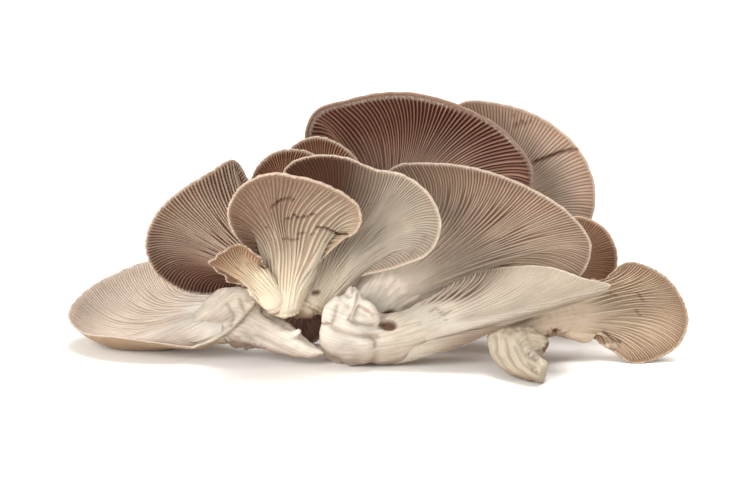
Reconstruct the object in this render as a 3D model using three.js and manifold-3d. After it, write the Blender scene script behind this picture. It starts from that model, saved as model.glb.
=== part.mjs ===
// A heap of oyster mushroom clumps, as picked: three clumps of caps stand on edge with their gills
// towards -Y, and one mushroom lies fallen at each end. Millimetres, +Z up, the floor at z = 0.
//
// Every mushroom is one thick sheet that widens from a stem to a fan. Across the fan runs v, from -1
// to 1, and along it runs u, from 0 at the foot to 1 at the rim. For each v the middle of the sheet is
// a Bezier curve in u: its first control points stand on the stem, the next one bends the cap into a
// dish, and the last one is on the rim. The gills are ridges raised on one face by a formula.

import * as THREE from 'three';
import { mergeVertices } from 'three/addons/utils/BufferGeometryUtils.js';
import Module from 'manifold-3d';

const wasm = await Module();
wasm.setup();

// ---- Driving dimensions, mm

const HEAP_CENTRE = [-0.151, 16.694];   // middle of the heap's box on the floor, put at the origin
const GILL_HEIGHT = 1.6;               // how far a gill stands out of the flesh
const STEM_ROWS = [0, 0.1, 0.2];       // u of the plain rows on the stem
const GILL_ROWS = [0.3, 0.47, 0.64, 0.81, 0.94];  // u of the rows that carry gills
const GILL_START = 0.22;               // u where the gills begin to rise
const GILL_RISE = 0.2;                 // length in u over which they rise
const MARGIN = 0.1;                    // length in u over which they die out before the rim
const HANDLE_REACH = 0.45;             // place of the dish's control point, from rim (0) to neck (1)
const SIDE_POWER = 4;                   // how suddenly the gills turn along the rim near the sides
const THINNEST_SIDE = 0.12;            // thickness of the sheet's side edges at the foot, of its middle
const SIDE_TURN = 0.8;                 // how far round its oval section a stem's sheet goes, of a half turn
const FLOOR_REACH = 400;               // size of the block that keeps only what is above the floor
const SMALLEST_DETAIL = 0.02;          // slivers smaller than this are dropped from a joined clump

// Each stem row is [x, y, z, half width, half thickness]. Each rim runs from left to right round the
// cap, seen from its gill side with the stem below. `faces` is the way the gills look, `dish` how deep
// the cap is for its length, `square` how far the gills turn to meet the rim squarely, from 0 to 1, and
// `flesh` and `edge` half its thickness inside the rim and at the rim.

const CENTRE_CLUMP = {
  front_cap: {
    stem: [[-38, -4, 21.5, 7, 6], [-38, -5, 28.5, 7, 6], [-37, -5, 38.5, 10, 5]],
    rim: [
      [-44, -6, 39.5], [-50.5, -10, 48.5], [-57, -13, 57], [-59.5, -16, 67], [-55, -19, 77.5],
      [-44.5, -22, 84.5], [-30, -22, 83.5], [-15.5, -20, 77.5], [-7.5, -16, 69.5], [-6.5, -13, 62.5],
      [-9, -10, 57.5], [-13, -8, 55], [-22, -4, 44.5],
    ],
    faces: [0, -1, 0.05], dish: 0.7, square: 0.6, flesh: 1.5, edge: 1.1, gills: 24, columns: 18,
  },
  front_lobe: {
    stem: [[-40, -7, 24.5, 5, 4], [-43.5, -10, 31.5, 5, 4], [-50.5, -12, 40.5, 6, 3]],
    rim: [
      [-51.5, -11, 34], [-59.5, -12, 37], [-67.5, -16, 47.5], [-63.5, -18, 52], [-55, -18, 54],
      [-47.5, -16, 49.5], [-44.5, -12, 42],
    ],
    faces: [0, -1, 0.1], dish: 0.5, square: 0.5, flesh: 1.3, edge: 0.9, gills: 10, columns: 10,
  },
  middle_cap: {
    stem: [[-28, 1, 22, 7, 6], [-24.5, 4, 28, 8, 6], [-18, 8, 39, 11, 4]],
    rim: [
      [-28, 9, 47], [-38, 6, 67.5], [-36, 2, 82], [-25, -1, 87.5], [-12, -3, 87.5], [-0.5, -3, 83],
      [12, -3, 80], [22.5, -4, 71.5], [27, -5, 60], [23, -3, 47.5], [10.5, 1, 40], [-8, 5, 34],
    ],
    faces: [0, -1, 0], dish: 0.6, square: 0.65, flesh: 1.5, edge: 1.1, gills: 28, columns: 20,
  },
  left_cap: {
    stem: [[-35, 9, 20.5, 6, 6], [-40.5, 14, 28, 6, 6], [-48, 17, 37.5, 9, 4]],
    rim: [
      [-53, 17, 29.5], [-65, 13, 25.5], [-81.5, 8, 28], [-92.5, 5, 36.5], [-96, 3, 48.5],
      [-92, 3, 60.5], [-80.5, 3, 72], [-69, 5, 79], [-59, 8, 84], [-53, 13, 74], [-48, 18, 50.5],
    ],
    faces: [0.15, -1, 0.15], dish: 0.6, square: 0.6, flesh: 1.5, edge: 1.1, gills: 26, columns: 20,
  },
  small_left_cap: {
    stem: [[-29.5, 14, 20, 5, 4], [-31.5, 26, 37, 5, 4], [-36, 30, 57, 6, 3]],
    rim: [
      [-43, 29, 59], [-52.5, 25, 69.5], [-49, 21, 79.5], [-42, 19, 85], [-33.5, 19, 86],
      [-25.5, 20, 83.5], [-23.5, 25, 71.5], [-28.5, 29, 60],
    ],
    faces: [0, -1, 0], dish: 0.5, square: 0.5, flesh: 1.3, edge: 1.0, gills: 12, columns: 12,
  },
  small_right_cap: {
    stem: [[-25, 17, 18, 5, 4], [-25.5, 31, 37, 5, 4], [-22.5, 37, 58, 6, 3]],
    rim: [
      [-30, 36, 61], [-39.5, 32, 74], [-34.5, 28, 85], [-24, 26, 89], [-14, 26, 86], [-6.5, 29, 76.5],
      [-14, 35, 61.5],
    ],
    faces: [0, -1, 0], dish: 0.5, square: 0.5, flesh: 1.3, edge: 1.0, gills: 12, columns: 12,
  },
  lower_cap: {
    stem: [[-29.5, 14, 21.5, 6, 5], [-32, 18, 17, 6, 5], [-35, 22, 11, 7, 3]],
    rim: [
      [-26, 20, 16.5], [-19.5, 20, 10], [-23, 21, 3], [-31.5, 23, -1.5], [-43, 27, -3], [-51, 31, 1],
      [-45.5, 29, 10],
    ],
    faces: [0, -1, -0.4], dish: 0.4, square: 0.3, flesh: 1.4, edge: 1.0, gills: 12, columns: 12,
  },
};

const RIGHT_CLUMP = {
  large_cap: {
    stem: [[-3, 3, 15, 11, 8], [3, 12, 23, 13, 8], [15, 21, 32, 12, 6]],
    rim: [
      [9, 23, 40.5], [2.5, 22, 57], [7.5, 18, 77.5], [24, 14, 81], [45.5, 11, 79], [66, 9, 71],
      [82, 8, 60], [90.5, 9, 47.5], [88, 12, 34.5], [72.5, 17, 22.5], [45, 21, 18], [24.5, 22, 22],
    ],
    faces: [0, -1, 0], dish: 0.7, square: 0.6, flesh: 1.5, edge: 1.1, gills: 30, columns: 22,
  },
  rolled_cap: {
    stem: [[-12, -6, 12.5, 10, 8], [-2, -8, 10, 9, 8], [8, -8, 9, 8, 5]],
    rim: [
      [9, -2, 17], [14.5, 1, 22], [27, 3, 28.5], [41.5, 4, 35.5], [57, 2, 39], [73.5, -2, 39.5],
      [87, -8, 36.5], [96.5, -12, 35], [91, -13, 31.5], [74.5, -14, 26.5], [54, -16, 19],
      [33.5, -14, 9.5], [18.5, -9, 4.5],
    ],
    faces: [0, -1, 0.1], dish: -0.3, square: 0, flesh: 1.5, edge: 1.0, gills: 28, columns: 24,
  },
};

const BACK_CLUMP = {
  tall_left_cap: {
    stem: [[8.5, 46, -2.5, 9, 8], [-1.5, 50, 20.5, 8, 7], [5, 53, 49.5, 9, 4]],
    rim: [
      [-4, 48, 57], [-20.5, 40, 67], [-29.5, 36, 82], [-26, 36, 98], [-10.5, 38, 103.5],
      [11.5, 40, 106], [34.5, 40, 100.5], [55.5, 40, 88], [67, 41, 71], [63, 46, 55], [40, 51, 44.5],
      [16.5, 52, 46],
    ],
    faces: [0, -1, 0.1], dish: 0.7, square: 0.65, flesh: 1.5, edge: 1.1, gills: 28, columns: 20,
  },
  tall_right_cap: {
    stem: [[13, 50, -3, 9, 8], [25.5, 58, 13.5, 8, 6], [40, 67, 38, 9, 4]],
    rim: [
      [31.5, 65, 47.5], [27, 62, 78.5], [37, 60, 97], [57, 58, 96.5], [77, 55, 88], [89.5, 53, 75.5],
      [95.5, 53, 58], [92, 55, 41], [75.5, 60, 30.5], [51.5, 66, 30.5],
    ],
    faces: [-0.1, -1, 0.1], dish: 0.6, square: 0.6, flesh: 1.5, edge: 1.1, gills: 26, columns: 20,
  },
  low_right_cap: {
    stem: [[18, 44, -3, 8, 7], [38.5, 42, 4, 7, 6], [64.5, 41, 21, 6, 3.5]],
    rim: [
      [63, 40, 29.5], [73.5, 36, 46], [87, 33, 53.5], [98, 31, 49], [104, 31, 36.5], [102.5, 32, 25.5],
      [94.5, 34, 16.5], [79, 38, 13], [68, 41, 14.5],
    ],
    faces: [-0.1, -1, 0], dish: 0.5, square: 0.6, flesh: 1.4, edge: 1.0, gills: 18, columns: 14,
  },
};

const LEFT_FALLEN = {
  stem: [[-22.5, -10, 6, 1.2, 1.5], [-33, -10, 3.5, 7.5, 5], [-53, 1, 24, 11, 10], [-62, 5, 24.5, 12.5, 9]],
  rim: [
    [-62.5, -1, 9.5], [-75, -5, 7], [-90.5, -6, 9], [-107.5, -3, 10.5], [-123, 6, 10],
    [-131, 20, 13.5], [-127.5, 34, 18], [-115.5, 46, 23.5], [-99.5, 52, 28], [-81.5, 48, 28],
    [-67.5, 36, 25], [-59.5, 22, 21],
  ],
  faces: [0.15, -0.35, 0.93], dish: 1.15, square: 0.3, flesh: 1.7, edge: 1.1, gills: 26, columns: 20,
};

// The strip that has split off the torn end of the left mushroom's stem.
const SPLIT_STRIP = {
  stem: [[-31, -4, 12.5, 0.8, 1], [-37, -3, 15, 4, 3], [-46, 0, 17, 5, 4]],
  rim: [[-46, 0, 13], [-50, 1, 15], [-52, 2, 18.5], [-48, 2, 22]],
  faces: [0.2, -0.8, 0.5], dish: 0, square: 0, flesh: 3, edge: 2, gills: 4, columns: 8,
};

const RIGHT_FALLEN = {
  stem: [[68, -33, 4, 4, 4.5], [43, -24, 7, 10, 7.5], [52, 8, 22, 4.5, 6], [90.5, 6, 18, 4, 6]],
  rim: [
    [92, 10, 22], [97.5, 12, 33], [105, 13, 38.5], [117, 9, 36.5], [126.5, 5, 28.5], [131, 1, 16.5],
    [127.5, -3, 9], [117.5, -6, 3], [108, -7, 0.8], [100, -3, 5], [94.5, 0, 7.5],
  ],
  faces: [-0.1, -1, 0.2], dish: 0.5, square: 0, flesh: 1.5, edge: 1.1, gills: 24, columns: 18,
};

// The lumps of flesh that the caps of a clump grow from, the swollen neck of the left mushroom and the
// torn heel of the right one's stem.
// `taper` is how much narrower a lump is at its top than at its middle.
const LUMPS = {
  centre_foot: { centre: [-32.5, 8, 23.5], radii: [10, 12, 7], taper: 0 },
  torn_base: { centre: [-9.5, -5.5, 13.5], radii: [13.5, 12.5, 13.5], taper: 0.1 },
  torn_crest: { centre: [-9.5, -7, 22], radii: [9.5, 7, 11], taper: 0.5 },
  back_foot: { centre: [12, 48, -0.5], radii: [14, 12, 9], taper: 0 },
  neck_swelling: { centre: [-54, 1, 13], radii: [10, 8, 8.5], taper: 0 },
  neck_dome: { centre: [-59.5, 0.5, 21], radii: [11, 8.5, 9], taper: 0 },
  torn_heel: { centre: [61, -15, 10], radii: [9, 6.5, 8], taper: 0 },
};
const LUMP_SIDES = 18;
const LUMP_RINGS = 11;

// ---- The middle of a mushroom's sheet

const vector = (numbers) => new THREE.Vector3(...numbers.slice(0, 3));

// How far across a stem's section a column stands: the sine of its place round the oval.
function across(v) {
  return Math.sin(SIDE_TURN * v * Math.PI / 2) / Math.sin(SIDE_TURN * Math.PI / 2);
}

// The weights of the n + 1 control points of a Bezier curve at u.
function bezierWeights(n, u) {
  const weights = [];
  let choose = 1;
  for (let k = 0; k <= n; k++) {
    weights.push(choose * u ** k * (1 - u) ** (n - k));
    choose *= (n - k) / (k + 1);
  }
  return weights;
}

// Returns the function (u, v) -> middle point of the sheet, and u -> half its thickness.
function sheetOf(mushroom) {
  const rim = new THREE.CatmullRomCurve3(mushroom.rim.map(vector), false, 'chordal');
  rim.arcLengthDivisions = 2000;
  const faces = vector(mushroom.faces).normalize();
  const stations = mushroom.stem.map(vector);
  const neck = stations[stations.length - 1];
  const sides = stations.map((station, k) => {
    const next = k + 1 < stations.length ? stations[k + 1] : rim.getPointAt(0.5);
    const along = next.clone().sub(station).normalize();
    return along.cross(faces).normalize();
  });

  // Square to the rim, turning along the rim at the cap's two sides.
  const squareWay = (v) => {
    const tangent = rim.getTangentAt((v + 1) / 2);
    const turn = Math.PI / 2 * Math.sign(v) * Math.abs(v) ** SIDE_POWER;
    const straight = faces.clone().cross(tangent).normalize();
    return straight.multiplyScalar(Math.cos(turn)).addScaledVector(tangent, -Math.sin(turn));
  };

  const middle = (u, v) => {
    const onRim = rim.getPointAt((v + 1) / 2);
    const outward = onRim.clone().sub(neck);
    const reach = HANDLE_REACH * outward.length();
    const way = outward.normalize().multiplyScalar(1 - mushroom.square)
      .addScaledVector(squareWay(v), mushroom.square).normalize();
    const handle = onRim.clone().addScaledVector(way, -reach)
      .addScaledVector(faces, -reach * mushroom.dish);
    const controls = stations.map((station, k) => (
      station.clone().addScaledVector(sides[k], mushroom.stem[k][3] * across(v))));
    controls.push(handle, onRim);
    const weights = bezierWeights(controls.length - 1, u);
    const point = new THREE.Vector3();
    controls.forEach((control, k) => point.addScaledVector(control, weights[k]));
    return point;
  };

  const depths = [...mushroom.stem.map((row) => row[4]), mushroom.flesh, mushroom.edge];
  const halfThickness = (u) => {
    const weights = bezierWeights(depths.length - 1, u);
    return depths.reduce((sum, depth, k) => sum + depth * weights[k], 0);
  };
  return { middle, halfThickness };
}

// The direction that the gills look at (u, v): square to the sheet.
function gillDirection(middle, u, v) {
  const step = 0.01;
  const difference = (du, dv) => {
    const ahead = middle(Math.min(u + du, 1), Math.min(v + dv, 1));
    return ahead.sub(middle(Math.max(u - du, 0), Math.max(v - dv, -1)));
  };
  return difference(0, step).cross(difference(step, 0)).normalize();
}

// How high the gills stand at u: nothing on the stem and on the smooth margin.
function gillRelief(u) {
  const rising = Math.min(Math.max((u - GILL_START) / GILL_RISE, 0), 1);
  const dying = Math.min((1 - u) / MARGIN, 1);
  return GILL_HEIGHT * rising * dying;
}

// ---- Closed solids

function solidOf(points, triangles) {
  return new wasm.Manifold(new wasm.Mesh({
    numProp: 3, vertProperties: new Float32Array(points.flat()), triVerts: new Uint32Array(triangles.flat()),
  }));
}

// Joins two rows of points whose columns may differ in number. Each row starts and ends at v = -1 and 1.
function stitch(triangles, low, high) {
  let i = 0;
  let j = 0;
  while (i < low.length - 1 || j < high.length - 1) {
    const lowNext = (i + 1) / (low.length - 1);
    const highNext = (j + 1) / (high.length - 1);
    if (i < low.length - 1 && lowNext <= highNext + 1e-9) {
      triangles.push([low[i], low[i + 1], high[j]]);
      i += 1;
    } else {
      triangles.push([low[i], high[j + 1], high[j]]);
      j += 1;
    }
  }
}

// One mushroom: a gilled face and a plain back, each half a thickness off the middle of the sheet, with
// two columns for each gill (its crest and the valley beside it) and a few columns everywhere else.
function mushroomSolid(mushroom) {
  const { middle, halfThickness } = sheetOf(mushroom);
  const points = [];
  const row = (u, columns, side, relief) => {
    const indices = [];
    for (let k = 0; k <= columns; k++) {
      const v = -1 + 2 * k / columns;
      const section = (1 - u) * Math.sqrt(Math.max(0, 1 - across(v) ** 2)) + u;
      const crest = k % 2 === 1 ? relief : 0;
      const off = halfThickness(u) * Math.max(section, THINNEST_SIDE) + crest;
      const point = middle(u, v).addScaledVector(gillDirection(middle, u, v), side * off);
      indices.push(points.length);
      points.push(point.toArray());
    }
    return indices;
  };

  const heights = [...STEM_ROWS, ...GILL_ROWS, 1];
  const front = heights.map((u) => (
    GILL_ROWS.includes(u) ? row(u, 2 * mushroom.gills, 1, gillRelief(u)) : row(u, mushroom.columns, 1, 0)));
  const back = heights.map((u) => row(u, mushroom.columns, -1, 0));

  const triangles = [];
  for (let k = 0; k + 1 < heights.length; k++) {
    stitch(triangles, front[k], front[k + 1]);
    stitch(triangles, back[k + 1], back[k]);
    const [frontLow, frontHigh, backLow, backHigh] = [front[k], front[k + 1], back[k], back[k + 1]];
    stitch(triangles, [backLow[0], frontLow[0]], [backHigh[0], frontHigh[0]]);
    stitch(triangles, [frontLow.at(-1), backLow.at(-1)], [frontHigh.at(-1), backHigh.at(-1)]);
  }
  stitch(triangles, back[0], front[0]);
  stitch(triangles, front.at(-1), back.at(-1));
  return solidOf(points, triangles);
}

// An uneven round lump: an ellipsoid whose radius swells and sinks a little round and down it.
function lumpSolid({ centre, radii, taper }) {
  const points = [];
  for (let ring = 1; ring < LUMP_RINGS; ring++) {
    const down = Math.PI * ring / LUMP_RINGS;
    for (let k = 0; k < LUMP_SIDES; k++) {
      const round = 2 * Math.PI * k / LUMP_SIDES;
      const swell = 1 + 0.08 * Math.sin(3 * round + 2 * down) + 0.06 * Math.sin(5 * round - 3 * down);
      const wide = swell * (1 - taper * Math.cos(down)) * Math.sin(down);
      points.push([
        centre[0] + radii[0] * wide * Math.cos(round),
        centre[1] + radii[1] * wide * Math.sin(round),
        centre[2] + radii[2] * swell * Math.cos(down),
      ]);
    }
  }
  const top = points.length;
  points.push([centre[0], centre[1], centre[2] + radii[2]], [centre[0], centre[1], centre[2] - radii[2]]);
  const triangles = [];
  const last = (LUMP_RINGS - 2) * LUMP_SIDES;
  for (let k = 0; k < LUMP_SIDES; k++) {
    const next = (k + 1) % LUMP_SIDES;
    for (let at = 0; at < last; at += LUMP_SIDES) {
      const [a, b, c, d] = [at + k, at + next, at + LUMP_SIDES + next, at + LUMP_SIDES + k];
      triangles.push([a, d, c], [a, c, b]);
    }
    triangles.push([top, k, next], [top + 1, last + next, last + k]);
  }
  return solidOf(points, triangles);
}

// Everything above the floor, to cut the flat spots that a clump rests on.
function aboveFloor() {
  const block = new THREE.BoxGeometry(FLOOR_REACH, FLOOR_REACH, FLOOR_REACH);
  block.translate(0, 0, FLOOR_REACH / 2);
  block.deleteAttribute('normal');
  block.deleteAttribute('uv');
  const merged = mergeVertices(block);
  return new wasm.Manifold(new wasm.Mesh({
    numProp: 3,
    vertProperties: new Float32Array(merged.attributes.position.array),
    triVerts: new Uint32Array(merged.index.array),
  }));
}

// Joins what has grown together and cuts it level with the floor. The largest body's outer skin is
// kept alone, which drops loose scraps and fills the hollows that joining has sealed.
function grownTogether(solids) {
  const whole = solids.reduce((joined, solid) => joined.add(solid)).intersect(aboveFloor());
  const bodies = whole.simplify(SMALLEST_DETAIL).decompose();
  return bodies.reduce((largest, body) => (body.volume() > largest.volume() ? body : largest));
}

function meshOf(name, solid, colour) {
  const { vertProperties, triVerts } = solid.getMesh();
  const geometry = new THREE.BufferGeometry();
  geometry.setAttribute('position', new THREE.BufferAttribute(new Float32Array(vertProperties), 3));
  geometry.setIndex(new THREE.BufferAttribute(new Uint32Array(triVerts), 1));
  geometry.computeVertexNormals();
  const material = new THREE.MeshStandardMaterial({ color: colour, roughness: 0.75, metalness: 0 });
  const mesh = new THREE.Mesh(geometry, material);
  mesh.name = name;
  mesh.position.set(-HEAP_CENTRE[0], -HEAP_CENTRE[1], 0);
  return mesh;
}

function clump(name, caps, lumps, colour) {
  const solids = [...Object.values(caps).map(mushroomSolid), ...lumps.map(lumpSolid)];
  return meshOf(name, grownTogether(solids), colour);
}

// ---- The heap

const heap = new THREE.Group();
heap.add(clump('centre_clump', CENTRE_CLUMP, [LUMPS.centre_foot], '#d2bfa6'));
heap.add(clump('right_clump', RIGHT_CLUMP, [LUMPS.torn_base, LUMPS.torn_crest], '#cbb49c'));
heap.add(clump('back_clump', BACK_CLUMP, [LUMPS.back_foot], '#8d6f5e'));
heap.add(clump(
  'left_fallen_mushroom', { LEFT_FALLEN, SPLIT_STRIP }, [LUMPS.neck_swelling, LUMPS.neck_dome], '#dccdb9',
));
heap.add(clump('right_fallen_mushroom', { RIGHT_FALLEN }, [LUMPS.torn_heel], '#cdb497'));

export default heap;
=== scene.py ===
"""A heap of oyster mushrooms: three clumps of caps on edge with their gills in view, and one fallen
mushroom at each end.

Every mushroom is one closed surface worked out from the same sheet as its solid. Across the fan runs
v, from -1 to 1, and along it runs u, from 0 at the foot to 1 at the rim. For each v the middle of the
sheet is a Bezier curve in u over the stem's stations, a control point that dishes the cap, and the
rim. The gilled face stands half a thickness in front of that middle and the skin half a thickness
behind it. The stems of a clump grow out of a base, which is stems, lumps and strands blended into
one. Lengths in the tables are millimetres, and everything is built in metres.
"""
import math
from types import SimpleNamespace

import bmesh
import bpy
import numpy as np
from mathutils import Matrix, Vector


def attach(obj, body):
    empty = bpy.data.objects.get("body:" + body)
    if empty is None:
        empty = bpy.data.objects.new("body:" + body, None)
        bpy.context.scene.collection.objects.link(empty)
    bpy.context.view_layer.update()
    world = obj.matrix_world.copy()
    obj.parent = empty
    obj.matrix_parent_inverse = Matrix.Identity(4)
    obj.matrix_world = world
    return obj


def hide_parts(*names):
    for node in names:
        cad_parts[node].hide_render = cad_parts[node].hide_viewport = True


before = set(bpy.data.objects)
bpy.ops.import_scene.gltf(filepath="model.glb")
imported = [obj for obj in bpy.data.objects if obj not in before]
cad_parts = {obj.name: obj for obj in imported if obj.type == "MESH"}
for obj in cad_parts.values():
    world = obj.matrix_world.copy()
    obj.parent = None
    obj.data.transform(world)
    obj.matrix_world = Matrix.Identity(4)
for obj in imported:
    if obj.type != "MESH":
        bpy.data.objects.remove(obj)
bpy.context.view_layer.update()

# ---- Driving values, in millimetres where they are lengths and nothing else is said

MM = 0.001
HEAP_CENTRE = np.array([-0.151, 16.694, 0.0])  # middle of the heap on the floor, put at the origin
CAMERA_AIM = np.array([0, 10, 44.7])           # what the camera looks at, in the tables' places
CLOSE = 1e-6               # points nearer than this are one point, metres

# The sheet and its mesh
HANDLE_REACH = 0.45        # place of the dish's control point, from rim (0) to neck (1)
SIDE_TURN = 0.8            # how far round its oval section a stem's sheet goes, of a half turn
SIDE_POWER = 4             # how suddenly the way to the rim turns along it near the cap's sides
THINNEST_SIDE = 0.12       # thickness of a side edge at the foot, of the sheet's middle
THINNEST = 0.3             # half thickness that no part of a sheet goes below
RIM_STEPS = 400            # steps a rim's curve is measured in, between two of its points
RIM_STEP = 0.004           # step along the rim, of its length, that its direction is taken over
SHEET_STEP = 0.01          # step in u and v that the sheet's directions are taken over
ROWS = 46                  # evenly spaced rows from foot to rim
LAST_ROWS = 0.06           # how far before the rim, in u, the even rows end
RIM_ROWS = [0.006, 0.014, 0.026, 0.042]  # how far before the rim, in u, the extra rows stand
COLUMNS_IN_SLOT = np.array([-0.5, -0.25, 0.0, 0.25])  # places of the columns round a gill
BACK_RATIO = 8             # columns of the gilled face for each column of the skin
ROUND_STEPS = 6            # steps round a rim or a side edge
TURNS = np.linspace(0, math.pi, ROUND_STEPS + 1)  # turns round one, from the gills to the back
FOOT_RINGS = 8             # rings that close a foot
FOOT_DOME = 0.35           # height of the foot's dome, of its half thickness
FOOT_ROUGHNESS = 0.35      # height of the torn flesh on it

# Gills
GILL_RANKS = [             # every how many slots, from which slot, where they start in u, how high
    (8, 0, 0.02, 1.0),
    (8, 4, 0.16, 1.0),
    (4, 2, 0.34, 0.9),
    (2, 1, 0.52, 0.78)]
GILL_START_SPREAD = 0.22   # how much later than its rank a gill may start, in u
GILL_HEIGHT_RANGE = (0.85, 1.1)  # a gill's height, of its rank's
GILL_ONSET = 0.1           # length in u over which a gill rises
GILL_AT_FOOT = 0.1         # height of the gills before they deepen, of their full height
CREST_HALF = 0.15          # half the width of a gill's crest
FOOT_HALF = 0.43           # half the width of a gill where it meets the flesh
SIDE_CALM = 0.82           # v past which the gills sink towards the side edges
SIDE_SINK = 0.6            # how far they sink there, of their height
MARGIN_SLOPE = 0.9         # width of the slope in which the gills die out at the margin
MARGIN_UNEVENNESS = 0.22   # how uneven the margin's width is, of that width
COMB_EASE = (0.1, 0.2, 0.12)  # how softly a comb begins and ends in v and begins in u

# Waves and finish of a mushroom, where a pair is a stretch in u unless something else is said
SWING_STARTS = (0.1, 0.5)  # where the gills begin to wander
WAVES_START = (0.45, 1)    # where the cap's waves begin
FRAY_STARTS = (0.8, 1)     # where its frayed edge begins
SKIN_STARTS = (0.45, 0.7)  # where the skin begins on the back
SKIN_ROUND_RIM = (0.4, 1)  # where it begins on the rim's half round, of the turn from gills to back
SKIN_ROUND_SIDE = (0.5, 1)  # and on a side's
SHADE_EASE = 0.2           # half the stretch in u over which a shade begins
TEAR_EASE = (0.12, 0.1)    # how softly a torn stretch begins in v and in u
BARE_UNEVENNESS = 0.05     # how unevenly the stem's bare flesh ends, in u
SLOT_GRAIN = 0.8           # grains in a gill's slot
FACING_AWAY = (-0.3, 0.1)  # from facing away from the gills to facing as they do, as a cosine
CRINKLE_WIDTH = 0.45       # width of the pale crinkled line at the rim
RIM_ROUGHNESS = 0.22       # how uneven the rounding of a rim is, of its radius
COMB_VALLEY_SHADE = 0.3            # how much shade is painted in the valleys of a comb, for each height of a gill it adds

# Where stems grow out of a base
SEAM = 0.12                # length in u over which a stem sinks into the base it grows from
SINK = 1.6                 # how deep it sinks there
NARROWING = 0.4            # how much narrower it grows there, of its width

# Bases
STEM_RINGS, STEM_COLUMNS = 26, 25        # how many rings a stem has, and points on each half of one
LUMP_RINGS, LUMP_COLUMNS = 48, 72        # and a lump, with points on a whole ring
STRAND_RINGS, STRAND_COLUMNS = 24, 16    # and a strand
VOXEL = 0.6                # size of the grid a base is blended on
BLEND = 14                 # rounds of smoothing that blend a base's stems and lumps
STEM_GRAIN = 14            # grains across half a stem of a base
COURSE_GRAIN = 1.5         # grains in a millimetre of height on a base with a course of its own
COURSE_BEND = 3            # how softly such a course bends
GRAIN_REACH = 1.6          # how far the grains of two stems mix
FOOT_COLOUR = (0.2, 0.75)  # the stretch of a stem over which its foot's colour ends
FACING_FRONT = (0.0, 0.5)  # from facing sideways to facing the front, as a cosine
UNDERSIDE = (0.2, -0.8)    # from facing a little up to facing down, as a cosine
UNDER_SHADE = 0.65         # how much shade is painted on the underside of a base
FOLD_SHADE = 0.45          # and in its folds
FLESH_BUMPS = 0.10         # height of the soft bumps on its flesh
FIBRE_BUMPS = 0.09         # height of the fibres along its grain
PIT_EDGE = (0.55, 1.15)    # where a pit rises to the face, of its half widths
STAIN_EDGE = (0.5, 1.1)    # where a stain ends, of its half widths
STAIN_RAGGEDNESS = 0.3     # how far a stain's edge wanders, of its half widths
STAIN_BUMPS = 0.3          # height of a stain's rough flesh, for each raggedness
FACET_PLANES = 16          # soft planes that a lump is cut towards
FACET_RANGE = (0.72, 1.0)  # how far out they stand
FACET_BLEND = 14           # how sharply two of them meet

# ---- Mushrooms

# What a mushroom has where its own values say nothing else. Its own values are the node it stands
# for; the rows of its stem, each x, y, z, half width and half thickness; the points of its rim, from
# left to right round the cap, seen from its gill side with the stem below; the way its gills face;
# and how many slots for gills it has. `dish` is how deep the cap is for its length, `gill` how high
# the gills are, `margin` the width of the rim without gills, `waves` the height of the cap's waves,
# and `tan` how dark the rim is.

USUAL = dict(
    flesh=1.5,             # half the thickness inside the rim
    edge=0.38,             # half the thickness at the rim
    square=0.6,            # how much of the way to the rim is square to it, not straight from the neck
    rows=ROWS,             # rows of its mesh from foot to rim
    gills_from=0,          # u before which there are no gills
    deepens=(0.05, 0.6),   # the stretch in u over which the gills reach their height
    later=0,               # how much later the ranks of gills start, of their own start
    broad=1,               # how much broader the gills are
    comb=(-3, -2, 2, 0),   # where they form a high comb: from v, to v, from u, heights added
    bow=-0.3,              # how far the gills bow from the middle halfway, below 0 towards it
    wiggle=0.4,            # how far they wander, of their spacing
    roll=(2, 3, 0),        # where the margin is wider: up to v, ending at v, and by how much
    bare=(0.05, 0.3),      # the stretch in u over which the stem's bare flesh ends
    tan_width=4,           # how far the dark of the rim reaches
    crinkle=0,             # where its crinkled line runs: 0 at the rim, 1 at the margin's inside
    cracks=(),             # furrows in the face: depth, width, tint, and a line of x and z
    torn=(2, 0, 0),        # a torn stretch of the rim: past v on that side, past u, and its tint
    fray=0,                # how far the rim frays
)

# Each entry of `shade` paints shade into a part of the cap where it curls away from the light or
# lies under its neighbours: v where it begins, v where it is full, u round which it begins, and how
# dark it is.

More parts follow.
